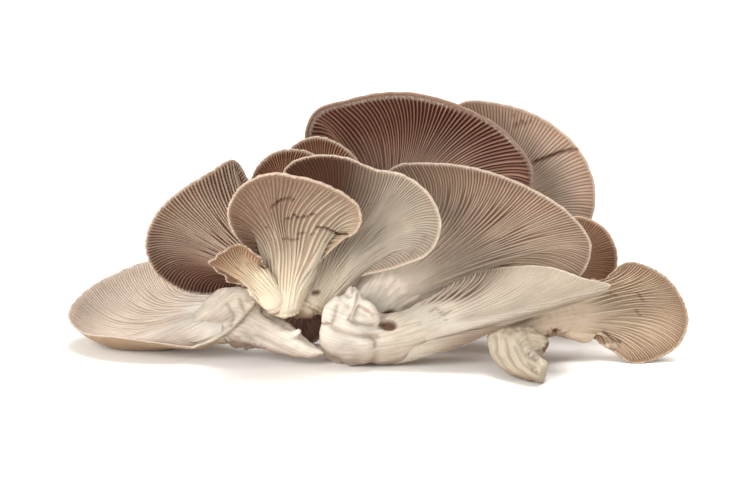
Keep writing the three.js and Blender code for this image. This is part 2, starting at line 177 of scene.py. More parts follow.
OWN_VALUES = {
    "front_cap": dict(
        node="centre_clump",
        stem=[(-38, -4, 21.5, 7, 6), (-38, -5, 28.5, 7, 6), (-37, -5, 38.5, 10, 5)],
        rim=[(-44, -6, 39.5), (-50.5, -10, 48.5), (-57, -13, 57), (-59.5, -16, 67), (-55, -19, 77.5),
             (-44.5, -22, 84.5), (-30, -22, 83.5), (-15.5, -20, 77.5), (-7.5, -16, 69.5),
             (-6.5, -13, 62.5), (-9, -10, 57.5), (-13, -8, 55), (-22, -4, 44.5)],
        faces=(0, -1, 0.05), dish=0.7, edge=0.5,
        slots=80, gill=0.9, margin=0.9, wiggle=1.6, waves=1.1, rows=84,
        later=0.45, broad=1.4,
        bare=(0.2, 0.75), shade=[(0.95, -0.15, 0.68, 0.75)],
        tan=0.55, tan_width=5,
        cracks=[
            (0.9, 0.50, 1.0, [(-42.1, 69.3), (-40.2, 70.7), (-37.9, 72.9)]),
            (0.9, 0.50, 1.0, [(-37.9, 72.3), (-36.2, 73.3), (-34.3, 73.5), (-33.0, 72.7)]),
            (0.7, 0.45, 0.8, [(-36.4, 63.8), (-33.6, 64.4)]),
            (0.8, 0.45, 0.9, [(-33.0, 65.9), (-31.6, 64.5), (-30.9, 64.4), (-27.3, 64.9)]),
            (0.7, 0.45, 0.8, [(-26.3, 65.6), (-24.5, 66.0)]),
            (0.6, 0.45, 0.7, [(-31.6, 57.1), (-28.6, 57.7)]),
            (0.6, 0.45, 0.7, [(-37.6, 54.7), (-35.6, 55.4), (-34.1, 54.2), (-31.1, 55.0)]),
            (0.5, 0.40, 0.6, [(-26.2, 56.8), (-24.6, 57.0)]),
            (1.4, 0.50, 1.0, [(-23.5, 59.7), (-19.5, 58.8), (-15.6, 55.8), (-11.8, 56.6)]),
            (0.3, 0.35, 1.0, [(-44.1, 60.2), (-43.8, 60.0)])],
        torn=(0.9, 0.35, 0.35), fray=0.12),
    "front_lobe": dict(
        node="centre_clump",
        stem=[(-40, -7, 24.5, 5, 4), (-43.5, -10, 31.5, 5, 4), (-50.5, -12, 40.5, 6, 3)],
        rim=[(-51.5, -11, 34), (-59.5, -12, 37), (-67.5, -16, 47.5), (-63.5, -18, 52),
             (-55, -18, 54), (-47.5, -16, 49.5), (-44.5, -12, 42)],
        faces=(0, -1, 0.1), dish=0.5, flesh=1.3,
        square=0.5, slots=40, gill=0.8, margin=0.5, wiggle=0.8, waves=0.9,
        bare=(0.35, 0.8), shade=[(0.8, -0.6, 0.65, 0.6)],
        bow=-0.2, tan=0.9, torn=(-0.8, 0.5, 0.4), fray=0.5),
    "middle_cap": dict(
        node="centre_clump",
        stem=[(-28, 1, 22, 7, 6), (-24.5, 4, 28, 8, 6), (-18, 8, 39, 11, 4)],
        rim=[(-28, 9, 47), (-38, 6, 67.5), (-36, 2, 82), (-25, -1, 87.5), (-12, -3, 87.5),
             (-0.5, -3, 83), (12, -3, 80), (22.5, -4, 71.5), (27, -5, 60), (23, -3, 47.5),
             (10.5, 1, 40), (-8, 5, 34)],
        faces=(0, -1, 0), dish=0.6,
        square=0.65, slots=112, gill=0.85, broad=1.4, margin=0.2, wiggle=0.9, waves=0.7,
        bare=(0.25, 0.65), shade=[(0.1, -0.3, 0.62, 1.0)],
        bow=-0.45, tan=0.35,
        cracks=[
            (-0.8, 0.7, 0.0, [(1.1, 82.2), (1.5, 82.3)]),
            (0.5, 0.60, 0.3, [(20.7, 54.3), (17.6, 49.1), (14.2, 44.9)]),
            (1.5, 0.90, 1.0, [(-25.4, 29.6), (-23.4, 29.6)])]),
    "left_cap": dict(
        node="centre_clump",
        stem=[(-35, 9, 20.5, 6, 6), (-40.5, 14, 28, 6, 6), (-48, 17, 37.5, 9, 4)],
        rim=[(-53, 17, 29.5), (-65, 13, 25.5), (-81.5, 8, 28), (-92.5, 5, 36.5), (-96, 3, 48.5),
             (-92, 3, 60.5), (-80.5, 3, 72), (-69, 5, 79), (-59, 8, 84), (-53, 13, 74),
             (-48, 18, 50.5)],
        faces=(0.15, -1, 0.15), dish=0.6,
        slots=96, gill=1, broad=1.3, margin=0.25, waves=0.5,
        shade=[(0.2, -0.7, 0.2, 0.95)],
        bow=-0.45, tan=0.6, tan_width=7),
    "small_left_cap": dict(
        node="centre_clump",
        stem=[(-29.5, 14, 20, 5, 4), (-31.5, 26, 37, 5, 4), (-36, 30, 57, 6, 3)],
        rim=[(-43, 29, 59), (-52.5, 25, 69.5), (-49, 21, 79.5), (-42, 19, 85), (-33.5, 19, 86),
             (-25.5, 20, 83.5), (-23.5, 25, 71.5), (-28.5, 29, 60)],
        faces=(0, -1, 0), dish=0.5, flesh=1.3,
        square=0.5, slots=64, gill=0.9, margin=0.25, waves=0.4,
        shade=[(1.5, -0.8, 0.2, 0.35)],
        tan=0.3),
    "small_right_cap": dict(
        node="centre_clump",
        stem=[(-25, 17, 18, 5, 4), (-25.5, 31, 37, 5, 4), (-22.5, 37, 58, 6, 3)],
        rim=[(-30, 36, 61), (-39.5, 32, 74), (-34.5, 28, 85), (-24, 26, 89), (-14, 26, 86),
             (-6.5, 29, 76.5), (-14, 35, 61.5)],
        faces=(0, -1, 0), dish=0.5, flesh=1.3,
        square=0.5, slots=60, gill=0.9, margin=0.25, waves=0.4,
        shade=[(1.5, -0.8, 0.2, 0.3)],
        tan=0.3),
    "lower_cap": dict(
        node="centre_clump",
        stem=[(-29.5, 14, 21.5, 6, 5), (-32, 18, 17, 6, 5), (-35, 22, 11, 7, 3)],
        rim=[(-26, 20, 16.5), (-19.5, 20, 10), (-23, 21, 3), (-31.5, 23, -1.5), (-43, 27, -3),
             (-51, 31, 1), (-45.5, 29, 10)],
        faces=(0, -1, -0.4), dish=0.4, flesh=1.4,
        square=0.3, slots=40, gill=0.3, margin=0.6, waves=0.3,
        shade=[(1.5, -0.8, 0.2, 0.3)],
        bow=0.1, tan=0.2),
    "large_cap": dict(
        node="right_clump",
        stem=[(-3, 3, 15, 11, 8), (3, 12, 23, 13, 8), (15, 21, 32, 12, 6)],
        rim=[(9, 23, 40.5), (2.5, 22, 57), (7.5, 18, 77.5), (24, 14, 81), (45.5, 11, 79), (66, 9, 71),
             (82, 8, 60), (90.5, 9, 47.5), (88, 12, 34.5), (72.5, 17, 22.5), (45, 21, 18),
             (24.5, 22, 22)],
        faces=(0, -1, 0), dish=0.7,
        slots=152, gill=1.0, broad=1.35, margin=0.2, wiggle=0.5, waves=0.6,
        bare=(0.4, 0.85), shade=[(0.2, 0.9, 0.45, 0.5), (0.35, -0.5, 0.9, 0.36)],
        bow=-0.5, tan=0.45, tan_width=3, gills_from=0.38,
        cracks=[(0.3, 0.40, 0.6, [(52.8, 46.4), (54.1, 45.0)])]),
    "rolled_cap": dict(
        node="right_clump",
        stem=[(-12, -6, 12.5, 10, 8), (-2, -8, 10, 9, 8), (8, -8, 9, 8, 5)],
        rim=[(9, -2, 17), (14.5, 1, 22), (27, 3, 28.5), (41.5, 4, 35.5), (57, 2, 39),
             (73.5, -2, 39.5), (87, -8, 36.5), (96.5, -12, 35), (91, -13, 31.5), (74.5, -14, 26.5),
             (54, -16, 19), (33.5, -14, 9.5), (18.5, -9, 4.5)],
        faces=(0, -1, 0.1), dish=-0.3,
        square=0.0, slots=150, gill=0.42, margin=0.2, waves=0.5,
        bare=(0.6, 1.0), shade=[(-0.1, 0.5, 0.75, 0.5)],
        bow=-0.8, tan=0.1, tan_width=2, comb=(-0.9, -0.35, 0.68, 3.4), gills_from=0.5,
        cracks=[
            (0.5, 0.35, 0.4, [(26.7, 23.9), (29.1, 21.8), (29.3, 20.7)]),
            (0.5, 0.35, 0.4, [(22.6, 23.6), (25.1, 25.1), (28.4, 23.1), (31.0, 24.4)])]),
    "tall_left_cap": dict(
        node="back_clump",
        stem=[(8.5, 46, -2.5, 9, 8), (-1.5, 50, 20.5, 8, 7), (5, 53, 49.5, 9, 4)],
        rim=[(-4, 48, 57), (-20.5, 40, 67), (-29.5, 36, 82), (-26, 36, 98), (-10.5, 38, 103.5),
             (11.5, 40, 106), (34.5, 40, 100.5), (55.5, 40, 88), (67, 41, 71), (63, 46, 55),
             (40, 51, 44.5), (16.5, 52, 46)],
        faces=(0, -1, 0.1), dish=0.7, edge=0.5,
        square=0.65, slots=112, gill=1.6, broad=1.3, margin=0.3, wiggle=0.3, waves=0.7,
        bare=(0.5, 0.9), shade=[(0.9, -0.5, 0.3, 0.3)],
        bow=-0.65, tan=0.45, roll=(-0.2, 0.5, 1.7), crinkle=1, deepens=(0.3, 0.95),
        cracks=[(0.3, 0.50, 1.0, [(51.0, 85.4), (51.4, 85.2)])]),
    "tall_right_cap": dict(
        node="back_clump",
        stem=[(13, 50, -3, 9, 8), (25.5, 58, 13.5, 8, 6), (40, 67, 38, 9, 4)],
        rim=[(31.5, 65, 47.5), (27, 62, 78.5), (37, 60, 97), (57, 58, 96.5), (77, 55, 88),
             (89.5, 53, 75.5), (95.5, 53, 58), (92, 55, 41), (75.5, 60, 30.5), (51.5, 66, 30.5)],
        faces=(-0.1, -1, 0.1), dish=0.6,
        slots=120, gill=0.75, broad=1.5, margin=0.4, wiggle=0.7, waves=0.9,
        shade=[(0.1, -0.6, 0.5, 0.4)],
        tan=0.7, tan_width=10,
        cracks=[
            (1.6, 0.80, 1.0, [(87.6, 77.8), (83.5, 77.0), (78.0, 74.3), (73.6, 72.3), (68.9, 70.4)]),
            (0.6, 0.45, 0.7, [(60.4, 92.4), (63.1, 90.7), (65.3, 88.3), (68.5, 90.1)]),
            (0.6, 0.45, 0.7, [(61.4, 88.2), (64.2, 85.5), (67.9, 83.7)])]),
    "low_right_cap": dict(
        node="back_clump",
        stem=[(18, 44, -3, 8, 7), (38.5, 42, 4, 7, 6), (64.5, 41, 21, 6, 3.5)],
        rim=[(63, 40, 29.5), (73.5, 36, 46), (87, 33, 53.5), (98, 31, 49), (104, 31, 36.5),
             (102.5, 32, 25.5), (94.5, 34, 16.5), (79, 38, 13), (68, 41, 14.5)],
        faces=(-0.1, -1, 0), dish=0.5, flesh=1.4,
        slots=92, gill=0.6, margin=0.4, waves=0.5,
        shade=[(-1.2, 0.9, 0.3, 0.4)],
        tan=0.6, tan_width=8),
    "left_fallen": dict(
        node="left_fallen_mushroom",
        stem=[(-22.5, -10, 6, 1.2, 1.5), (-33, -10, 3.5, 7.5, 5), (-53, 1, 24, 11, 10),
              (-62, 5, 24.5, 12.5, 9)],
        rim=[(-62.5, -1, 9.5), (-75, -5, 7), (-90.5, -6, 9), (-107.5, -3, 10.5), (-123, 6, 10),
             (-131, 20, 13.5), (-127.5, 34, 18), (-115.5, 46, 23.5), (-99.5, 52, 28),
             (-81.5, 48, 28), (-67.5, 36, 25), (-59.5, 22, 21)],
        faces=(0.15, -0.35, 0.93), dish=1.15, flesh=1.7,
        square=0.3, slots=160, gill=0.7, margin=0.9, wiggle=0.5, waves=0.6,
        bare=(0.5, 0.9), shade=[(0.3, 1.2, 0.6, 0.15), (0.2, -0.3, 0.9, 0.2)],
        bow=-0.2, tan=0.3, tan_width=3, gills_from=0.5),
    "right_fallen": dict(
        node="right_fallen_mushroom",
        stem=[(68, -33, 4, 4, 4.5), (43, -24, 7, 10, 7.5), (52, 8, 22, 4.5, 6), (90.5, 6, 18, 4, 6)],
        rim=[(92, 10, 22), (97.5, 12, 33), (105, 13, 38.5), (117, 9, 36.5), (126.5, 5, 28.5),
             (131, 1, 16.5), (127.5, -3, 9), (117.5, -6, 3), (108, -7, 0.8), (100, -3, 5),
             (94.5, 0, 7.5)],
        faces=(-0.1, -1, 0.2), dish=0.5,
        square=0.0, slots=92, gill=1.5, margin=0.7, wiggle=1.3, waves=0.9,
        bare=(0.6, 1.0), shade=[(0.1, -0.9, 0.85, 0.3)],
        bow=-0.2, tan=0.7, tan_width=3.5, gills_from=0.55,
        cracks=[
            (0.5, 0.40, 0.5, [(110.6, 26.8), (112.0, 24.6), (113.7, 23.3)]),
            (0.5, 0.40, 0.5, [(109.3, 20.2), (111.7, 17.6)]),
            (0.8, 0.60, 0.7, [(96.2, 12.0), (99.5, 9.2), (102.8, 7.9)]),
            (0.4, 0.40, 0.3, [(98.4, 26.9), (101.5, 25.9)])]),
}

MUSHROOMS = {name: USUAL | own for name, own in OWN_VALUES.items()}

# A base is the flesh that a clump's stems grow out of: the stems of `grown` up to the given u, its
# lumps (centre, three radii, how much it tapers upwards and how faceted it is) and its strands (rows
# of x, y, z, radius) blended into one. `folds` are furrows in the front of it, each a depth, a width
# and a line of x and z. `pits` are holes: x, z, two half widths and a depth. `stains` are brown
# patches: x, z, two half widths and a tint. A `course` runs its fine lines along a bent line instead
# of along its stems: the x of the bend, and how steeply it rises before it and after it.

BASES = {
    "right_base": dict(
        node="right_clump",
        grown=[("large_cap", 0.46), ("rolled_cap", 0.64)],
        lumps=[((-9.5, -5.5, 13.5), (13.5, 12.5, 13.5), 0.1, 0.0),
               ((-9.5, -7, 22), (9.5, 7, 11), 0.5, 0.25)],
        strands=[
            [(-8, -11, 33, 1.3), (-6.2, -12, 29, 1.5), (-1.8, -12, 26, 2.0), (1.5, -11.5, 19, 1.9)],
            [(-8, -11.5, 32.5, 1.3), (-8.5, -14, 27, 1.3), (-11, -15, 22, 1.2)],
            [(-8, -8.5, 29.5, 3.2), (-5.5, -8.5, 24, 4.2)],
            [(-19, -12, 19, 3.4), (-18.5, -11.5, 24.5, 3.2), (-14, -11.5, 29.5, 2.4)],
            [(-15, -11, 21, 4), (-14, -10.5, 25.5, 4), (-10.5, -10, 29.5, 3)],
            [(-2, 15, 24, 5), (-4, 17, 30, 4.2), (-3, 18, 36, 3.5)],
            [(-8, 12.5, 20, 4.5), (-8.5, 14.5, 26, 4), (-7.5, 16, 31, 3.5), (-5, 17, 36, 3)]],
        folds=[
            (0.8, 0.9, [(-6.1, 34.0), (-7.8, 28.3), (-10.7, 22.4)]),
            (0.7, 0.9, [(-10.7, 21.9), (-7.0, 20.0), (-3.3, 19.3), (2.1, 18.0)]),
            (1.1, 1.1, [(-20.7, 20.5), (-16, 17.6), (-12.3, 16.0), (-5.3, 15.4), (1.1, 14.2)]),
            (0.6, 0.7, [(-1.0, 14.4), (0.4, 12.2), (0.2, 10.6)]),
            (0.4, 0.8, [(-15.5, 27.5), (-16.5, 22.5), (-18.0, 18.5)])],
        pits=[(5.6, 18.6, 3.8, 2.2, 2.3)]),
    "left_base": dict(
        node="left_fallen_mushroom",
        grown=[("left_fallen", 0.66)],
        lumps=[((-54, 1, 13), (10, 8, 8.5), 0, 0.1)],
        strands=[
            [(-57, -2, 19, 5), (-51, -5, 17.5, 5), (-44, -7, 14.2, 5), (-37, -9, 10.8, 4.4),
             (-31, -10, 8.3, 3.2), (-25.5, -10.5, 6.7, 1.7), (-20.8, -10.5, 5.7, 0.7)],
            [(-45, -8, 15.5, 3.2), (-39, -10.5, 13.5, 2.8), (-35.5, -11, 13.6, 2.2),
             (-32, -11.5, 15.2, 1.5), (-30.8, -11.6, 16.4, 0.9)],
            [(-77, 4, 13, 2), (-71, 2, 17.5, 5), (-63, 0.5, 21.5, 9), (-56, 0, 21.5, 9.3),
             (-50, -1, 18, 6.5)],
            [(-66, -2, 11, 4.5), (-60, -2.5, 15, 7), (-53, -3.5, 15, 7), (-44, -5.5, 12.5, 5)],
            [(-49.6, -6, 27, 1), (-53.8, -9, 23, 1.3), (-58, -10.5, 18.5, 1.3),
             (-63.5, -9.5, 13.5, 1.2), (-70, -7.5, 9.5, 1), (-77, -6, 6.5, 0.8)]],
        folds=[
            (0.3, 0.8, [(-61, 26), (-58.5, 22), (-59.5, 18)]),
            (0.3, 0.8, [(-56, 28), (-54, 23.5)])],
        stains=[(-49.5, 7.6, 4.2, 2.4, 0.45)],
        course=(-58, 0.9, -0.46)),
    "right_fallen_base": dict(
        node="right_fallen_mushroom",
        grown=[("right_fallen", 0.72)],
        lumps=[((61, -15, 10), (9, 6.5, 8), 0, 0.15)],
        strands=[
            [(80, 5, 17, 5), (70, 3, 18.5, 5.5), (60, -2, 18.5, 6), (53, -10, 14.5, 6),
             (52, -17, 10.5, 5.5), (56, -25, 6.5, 4.8), (63, -30, 4.6, 4.2), (68.5, -33, 4.2, 3.4)],
            [(64, -4, 17.5, 4), (60, -10, 14.5, 4.5), (60, -17, 10.5, 4.2), (64, -24, 7, 3.7),
             (70, -28.5, 5.5, 2.4)],
            [(98, 4, 9, 1.5), (93, 4.5, 11, 2.6), (86, 4.5, 13.5, 4), (78, 4, 16.5, 4.6)],
            [(96.5, -0.5, 6.5, 1.2), (100, -1.5, 5.6, 1.8), (102.5, -1, 5.6, 1.2)]],
        folds=[
            (0.3, 0.7, [(50, 15), (49.5, 10), (53, 5.5), (60, 0.8)]),
            (0.35, 0.6, [(53.5, 15), (54.5, 10), (57, 6.5), (64, 2.4)]),
            (0.4, 0.6, [(57, 13), (60, 8.5), (66, 5.0)])],
        pits=[(75.4, 13.6, 1.6, 1.1, 1.2), (86.7, 6.3, 0.5, 0.4, 0.3)],
        stains=[
            (70.5, 10.8, 2.6, 1.9, 0.9),
            (63.5, 8.5, 2.2, 2.4, 0.5),
            (67.0, 9.8, 3.2, 1.2, 0.5),
            (74.0, 13.0, 3.6, 2.2, 0.45),
            (100.3, 5.6, 3.2, 2.2, 0.5),
            (90.0, 7.5, 7.0, 1.2, 0.25)]),
    "centre_base": dict(
        node="centre_clump",
        grown=[("front_cap", 0.1), ("middle_cap", 0.12), ("front_lobe", 0.1), ("left_cap", 0.14)],
        lumps=[((-32.5, 8, 23.5), (10, 12, 7), 0, 0.2)]),
    "back_base": dict(
        node="back_clump",
        grown=[("tall_left_cap", 0.2), ("tall_right_cap", 0.2), ("low_right_cap", 0.2)],
        lumps=[((12, 48, -0.5), (14, 12, 9), 0, 0.2)]),
}

# The u up to which a mushroom's stem belongs to a base
UNTIL = {name: until for spec in BASES.values() for name, until in spec["grown"]}

# ---- Colours, all plain linear ones

SHADE_TINT = (0.30, 0.155, 0.108, 1)  # what the flesh is multiplied by where shade is painted: in the depth of a cap, on a base's underside and in its folds
RIM_TINT = (0.66, 0.55, 0.45, 1)      # near the rim
MARK_AND_SHADE_TINT = (0.24, 0.13, 0.085, 1)   # and over cracks, torn flesh and stains, and as painted shade in a comb's valleys and in pits
CRINKLE_CREAM = (0.62, 0.53, 0.44, 1)
STREAKS_IN_BASE = 1.5                 # how strong the streaks are in a base, of those in a cap
SKIN_TAN = (0.344, 0.238, 0.156)
SKIN_GREY = (0.246, 0.197, 0.164)

# Of a mushroom: the crests of its gills, the valleys between them, darker than the crests as
# painted shade between the gills, the margin, the stem and the skin on its back. Of a base: `stem`
# is at its foot, `crest` towards its caps, and `margin` towards the first of them.

COLOURS = {
    "front_cap": dict(crest=(0.555, 0.48, 0.37), valley=(0.42, 0.31, 0.21), margin=(0.52, 0.40, 0.29),
                      stem=(0.74, 0.63, 0.485), skin=SKIN_TAN),
    "front_lobe": dict(crest=(0.58, 0.44, 0.295), valley=(0.317, 0.163, 0.083), margin=(0.37, 0.249, 0.158),
                       stem=(0.8, 0.69, 0.52), skin=SKIN_TAN),
    "middle_cap": dict(crest=(0.405, 0.342, 0.27), valley=(0.27, 0.2, 0.15), margin=(0.56, 0.45, 0.35),
                       stem=(0.66, 0.572, 0.454), skin=SKIN_GREY),
    "left_cap": dict(crest=(0.484, 0.379, 0.291), valley=(0.154, 0.0629, 0.036), margin=(0.462, 0.358, 0.277),
                     stem=(0.42, 0.28, 0.20), skin=SKIN_GREY),
    "small_left_cap": dict(crest=(0.462, 0.255, 0.16), valley=(0.189, 0.066, 0.036),
                           margin=(0.50, 0.37, 0.27), stem=(0.5, 0.38, 0.28), skin=SKIN_GREY),
    "small_right_cap": dict(crest=(0.525, 0.304, 0.196), valley=(0.231, 0.088, 0.048),
                            margin=(0.54, 0.41, 0.30), stem=(0.5, 0.38, 0.28), skin=SKIN_GREY),
    "lower_cap": dict(crest=(0.36, 0.215, 0.17), valley=(0.24, 0.13, 0.1), margin=(0.42, 0.27, 0.21),
                      stem=(0.42, 0.25, 0.19), skin=SKIN_GREY),
    "large_cap": dict(crest=(0.449, 0.332, 0.243), valley=(0.187, 0.0968, 0.0616),
                      margin=(0.53, 0.424, 0.342), stem=(0.759, 0.643, 0.517), skin=SKIN_GREY),
    "rolled_cap": dict(crest=(0.467, 0.396, 0.306), valley=(0.411, 0.322, 0.242), margin=(0.53, 0.45, 0.357),
                       stem=(0.509, 0.445, 0.364), skin=SKIN_TAN),
    "tall_left_cap": dict(crest=(0.497, 0.281, 0.191), valley=(0.121, 0.0352, 0.0209),
                          margin=(0.37, 0.245, 0.182), stem=(0.62, 0.47, 0.37), skin=SKIN_GREY),
    "tall_right_cap": dict(crest=(0.754, 0.606, 0.491), valley=(0.414, 0.239, 0.164),
                           margin=(0.703, 0.571, 0.472), stem=(0.488, 0.39, 0.326), skin=SKIN_GREY),
    "low_right_cap": dict(crest=(0.82, 0.553, 0.389), valley=(0.39, 0.205, 0.123),
                          margin=(0.859, 0.635, 0.471), stem=(0.4, 0.3, 0.22), skin=SKIN_GREY),
    "left_fallen": dict(crest=(0.554, 0.462, 0.381), valley=(0.398, 0.3, 0.228), margin=(0.506, 0.421, 0.348),
                        stem=(0.555, 0.5, 0.439), skin=(0.344, 0.233, 0.147)),
    "right_fallen": dict(crest=(0.58, 0.442, 0.315), valley=(0.36, 0.225, 0.135), margin=(0.42, 0.30, 0.195),
                         stem=(0.61, 0.485, 0.355), skin=SKIN_TAN),
    "centre_base": dict(crest=(0.67, 0.56, 0.42), margin=(0.734, 0.636, 0.493), stem=(0.69, 0.58, 0.44)),
    "right_base": dict(crest=(0.509, 0.437, 0.345), margin=(0.759, 0.65, 0.533), stem=(0.665, 0.6, 0.512)),
    "back_base": dict(crest=(0.4, 0.31, 0.235), margin=(0.4, 0.31, 0.235), stem=(0.4, 0.31, 0.235)),
    "left_base": dict(crest=(0.528, 0.455, 0.37), margin=(0.528, 0.455, 0.37),
                      stem=(0.827, 0.756, 0.648)),
    "right_fallen_base": dict(crest=(0.61, 0.485, 0.355), margin=(0.61, 0.485, 0.355),
                              stem=(0.457, 0.389, 0.288)),
}


# ---- Plain mathematics on whole arrays

def unit(vectors):
    """Each vector over its own length."""
    return vectors / np.maximum(np.linalg.norm(vectors, axis=-1, keepdims=True), 1e-12)


def smooth(low, high, values):
    """0 below low, 1 above high, and 3t^2 - 2t^3 between them."""
    t = np.clip((values - low) / (high - low), 0, 1)
    return t * t * (3 - 2 * t)


def ripple(x, y, seed, terms=7):
    """A smooth random field of mean 0 and size about 1: a sum of sines of random direction. The
    finer it should be one way, the more x or y is multiplied by where it is called."""
    rng = np.random.default_rng(seed)
    total = 0
    for _ in range(terms):
        turn, phase, pitch = rng.uniform(0, 2 * math.pi, 2).tolist() + [rng.uniform(0.6, 1.8)]
        total = total + np.sin(pitch * (x * math.cos(turn) + y * math.sin(turn)) + phase)
    return total / math.sqrt(terms / 2)


def across(v):
    """Place across a stem's oval section: sin(T v pi/2) / sin(T pi/2), T the side turn."""
    return np.sin(SIDE_TURN * v * math.pi / 2) / math.sin(SIDE_TURN * math.pi / 2)


def bezier_weights(n, u):
    """The n + 1 Bernstein weights at u, one row each: C(n,k) u^k (1-u)^(n-k)."""
    return np.stack([math.comb(n, k) * u ** k * (1 - u) ** (n - k) for k in range(n + 1)])


def rim_curve(points, s):
    """Chordal Catmull-Rom curve through the points, at the shares s of its length."""
    knots = np.vstack([2 * points[0] - points[1], points, 2 * points[-1] - points[-2]])
    w = np.linspace(0, 1, RIM_STEPS, endpoint=False)[:, None]
    pieces = []
    for p0, p1, p2, p3 in zip(knots, knots[1:], knots[2:], knots[3:]):
        d0, d1, d2 = (np.linalg.norm(b - a) for a, b in ((p0, p1), (p1, p2), (p2, p3)))
        t1 = ((p1 - p0) / d0 - (p2 - p0) / (d0 + d1) + (p2 - p1) / d1) * d1
        t2 = ((p2 - p1) / d1 - (p3 - p1) / (d1 + d2) + (p3 - p2) / d2) * d1
        pieces.append((2 * w**3 - 3 * w**2 + 1) * p1 + (w**3 - 2 * w**2 + w) * t1
                      + (3 * w**2 - 2 * w**3) * p2 + (w**3 - w**2) * t2)
    curve = np.vstack(pieces + [points[-1:]])
    length = np.concatenate([[0], np.cumsum(np.linalg.norm(np.diff(curve, axis=0), axis=1))])
    return np.stack([np.interp(s * length[-1], length, curve[:, k]) for k in range(3)], -1)


def line_distance(x, z, line):
    """Distance from each point to the nearest stretch of a line of x and z."""
    here = np.stack(np.broadcast_arrays(x, z), -1)
    best = np.full(here.shape[:-1], np.inf)
    for start, end in zip(np.array(line[:-1]), np.array(line[1:])):
        way = end - start
        share = np.clip((here - start) @ way / (way @ way), 0, 1)
        best = np.minimum(best, np.linalg.norm(here - start - share[..., None] * way, axis=-1))
    return best


# ---- The sheet of one mushroom

def sheet(m, u, v):
    """Middle of the sheet at u and v, which broadcast together: the sum of Bernstein weights in u
    times the stem's stations + half width * across(v) * side, the dish's control point
    R - reach |R - neck| (way + dish faces), and the rim's point R(v). The way is a blend of the
    straight line from the neck and the direction square to the rim, which turns along the rim at
    the sides, as N cos t - T sin t with t = (pi/2) sign(v) |v|^4."""
    stations = np.array([row[:3] for row in m["stem"]], float)
    widths = [row[3] for row in m["stem"]]
    rim = np.array(m["rim"], float)
    faces = unit(np.array(m["faces"], float))
    place = (np.clip(v, -1, 1) + 1) / 2
    on_rim = rim_curve(rim, place)
    ahead, behind_it = np.minimum(place + RIM_STEP, 1), np.maximum(place - RIM_STEP, 0)
    tangent = unit(rim_curve(rim, ahead) - rim_curve(rim, behind_it))
    turn = (math.pi / 2 * np.sign(v) * np.abs(np.clip(v, -1, 1)) ** SIDE_POWER)[..., None]
    square = unit(np.cross(faces, tangent)) * np.cos(turn) - tangent * np.sin(turn)
    neck = stations[-1]
    towards = np.vstack([stations[1:], rim_curve(rim, np.array([0.5]))])
    sides = unit(np.cross(unit(towards - stations), faces))
    outward = on_rim - neck
    length = np.linalg.norm(outward, axis=-1, keepdims=True)
    way = unit((1 - m["square"]) * unit(outward) + m["square"] * square)
    handle = on_rim - HANDLE_REACH * length * (way + m["dish"] * faces)
    controls = [p + w * across(v)[..., None] * side for p, w, side in zip(stations, widths, sides)]
    controls = np.stack(controls + [handle, on_rim])
    weights = bezier_weights(len(controls) - 1, np.clip(u, 0, 1))
    return np.einsum("k...,k...c->...c", np.broadcast_to(weights, controls.shape[:-1]), controls)


def half_thickness(m, u):
    """Half the sheet's thickness on its middle line, by the same weights in u."""
    depths = [row[4] for row in m["stem"]] + [m["flesh"], m["edge"]]
    return np.tensordot(np.array(depths, float), bezier_weights(len(depths) - 1, u), 1)


def section(u, v):
    """Share of the half thickness at v: the oval's sqrt(1 - across^2) at the foot, 1 at the rim."""
    oval = np.sqrt(np.maximum(0, 1 - across(v) ** 2))
    return np.maximum((1 - u) * oval + u, THINNEST_SIDE)


def frame_of(m, u, v):
    """Middle, direction of the gills (dv x du), direction towards the rim (du), and how much one v
    is in mm (|dv| over the step)."""
    v_after, v_before = np.minimum(v + SHEET_STEP, 1), np.maximum(v - SHEET_STEP, -1)
    u_after, u_before = np.minimum(u + SHEET_STEP, 1), np.maximum(u - SHEET_STEP, 0)
    d_v = sheet(m, u, v_after) - sheet(m, u, v_before)
    d_u = sheet(m, u_after, v) - sheet(m, u_before, v)
    gills = unit(np.cross(d_v, d_u))
    return sheet(m, u, v), gills, unit(d_u), np.linalg.norm(d_v, axis=-1) / (v_after - v_before)


# ---- Gills

def margin_width(m, v, seed):
    """How far before the rim the gills end: the uneven margin, and more where the cap's edge rolls
    over towards its gills."""
    roll_from, roll_to, roll = m["roll"]
    even = 1 + MARGIN_UNEVENNESS * ripple(v * 9, 0 * v, seed)
    return m["margin"] * even + roll * (1 - smooth(roll_from, roll_to, v))


def gill_field(m, u, v, mm_per_v, to_rim, ends, seed):
    """Height of the gills in mm, the share of it that is 0 in a valley and 1 on a crest, and the
    fade, 0 in the margin. The gills of a rank stand in every period-th slot and rise from u where
    they begin. A gill is a ridge of even width in mm, so its height depends on how far the point
    lies from its middle. The highest gill counts, times gill * rise * (1 + comb)."""
    rng = np.random.default_rng(seed)
    slots = m["slots"]
    pitch = 2 / slots
    best = np.zeros(np.broadcast(u, v).shape)
    for period, offset, start, rank_height in GILL_RANKS:
        count = (v + 1) / pitch - 0.5
        nearest = np.round((count - offset) / period) * period + offset
        index = np.clip(nearest, 0, slots - 1).astype(int)
        away = np.abs(count - nearest) * pitch * mm_per_v
        begins = (start * (1 + m["later"]) + rng.uniform(0, GILL_START_SPREAD, slots))[index]
        begins = m["gills_from"] + (1 - m["gills_from"]) * begins
        full = rank_height * rng.uniform(*GILL_HEIGHT_RANGE, slots)[index]
        height = full * smooth(0, GILL_ONSET, u - begins)
        ridge = 1 - smooth(CREST_HALF, FOOT_HALF, away / m["broad"])
        best = np.maximum(best, height * ridge)
    fade = smooth(0, MARGIN_SLOPE, to_rim - ends)
    rise = GILL_AT_FOOT + (1 - GILL_AT_FOOT) * smooth(*m["deepens"], u)
    share = best * fade * (1 - SIDE_SINK * smooth(SIDE_CALM, 1, np.abs(v)))
    return m["gill"] * rise * share * (1 + comb_field(m, u, v)), share, fade


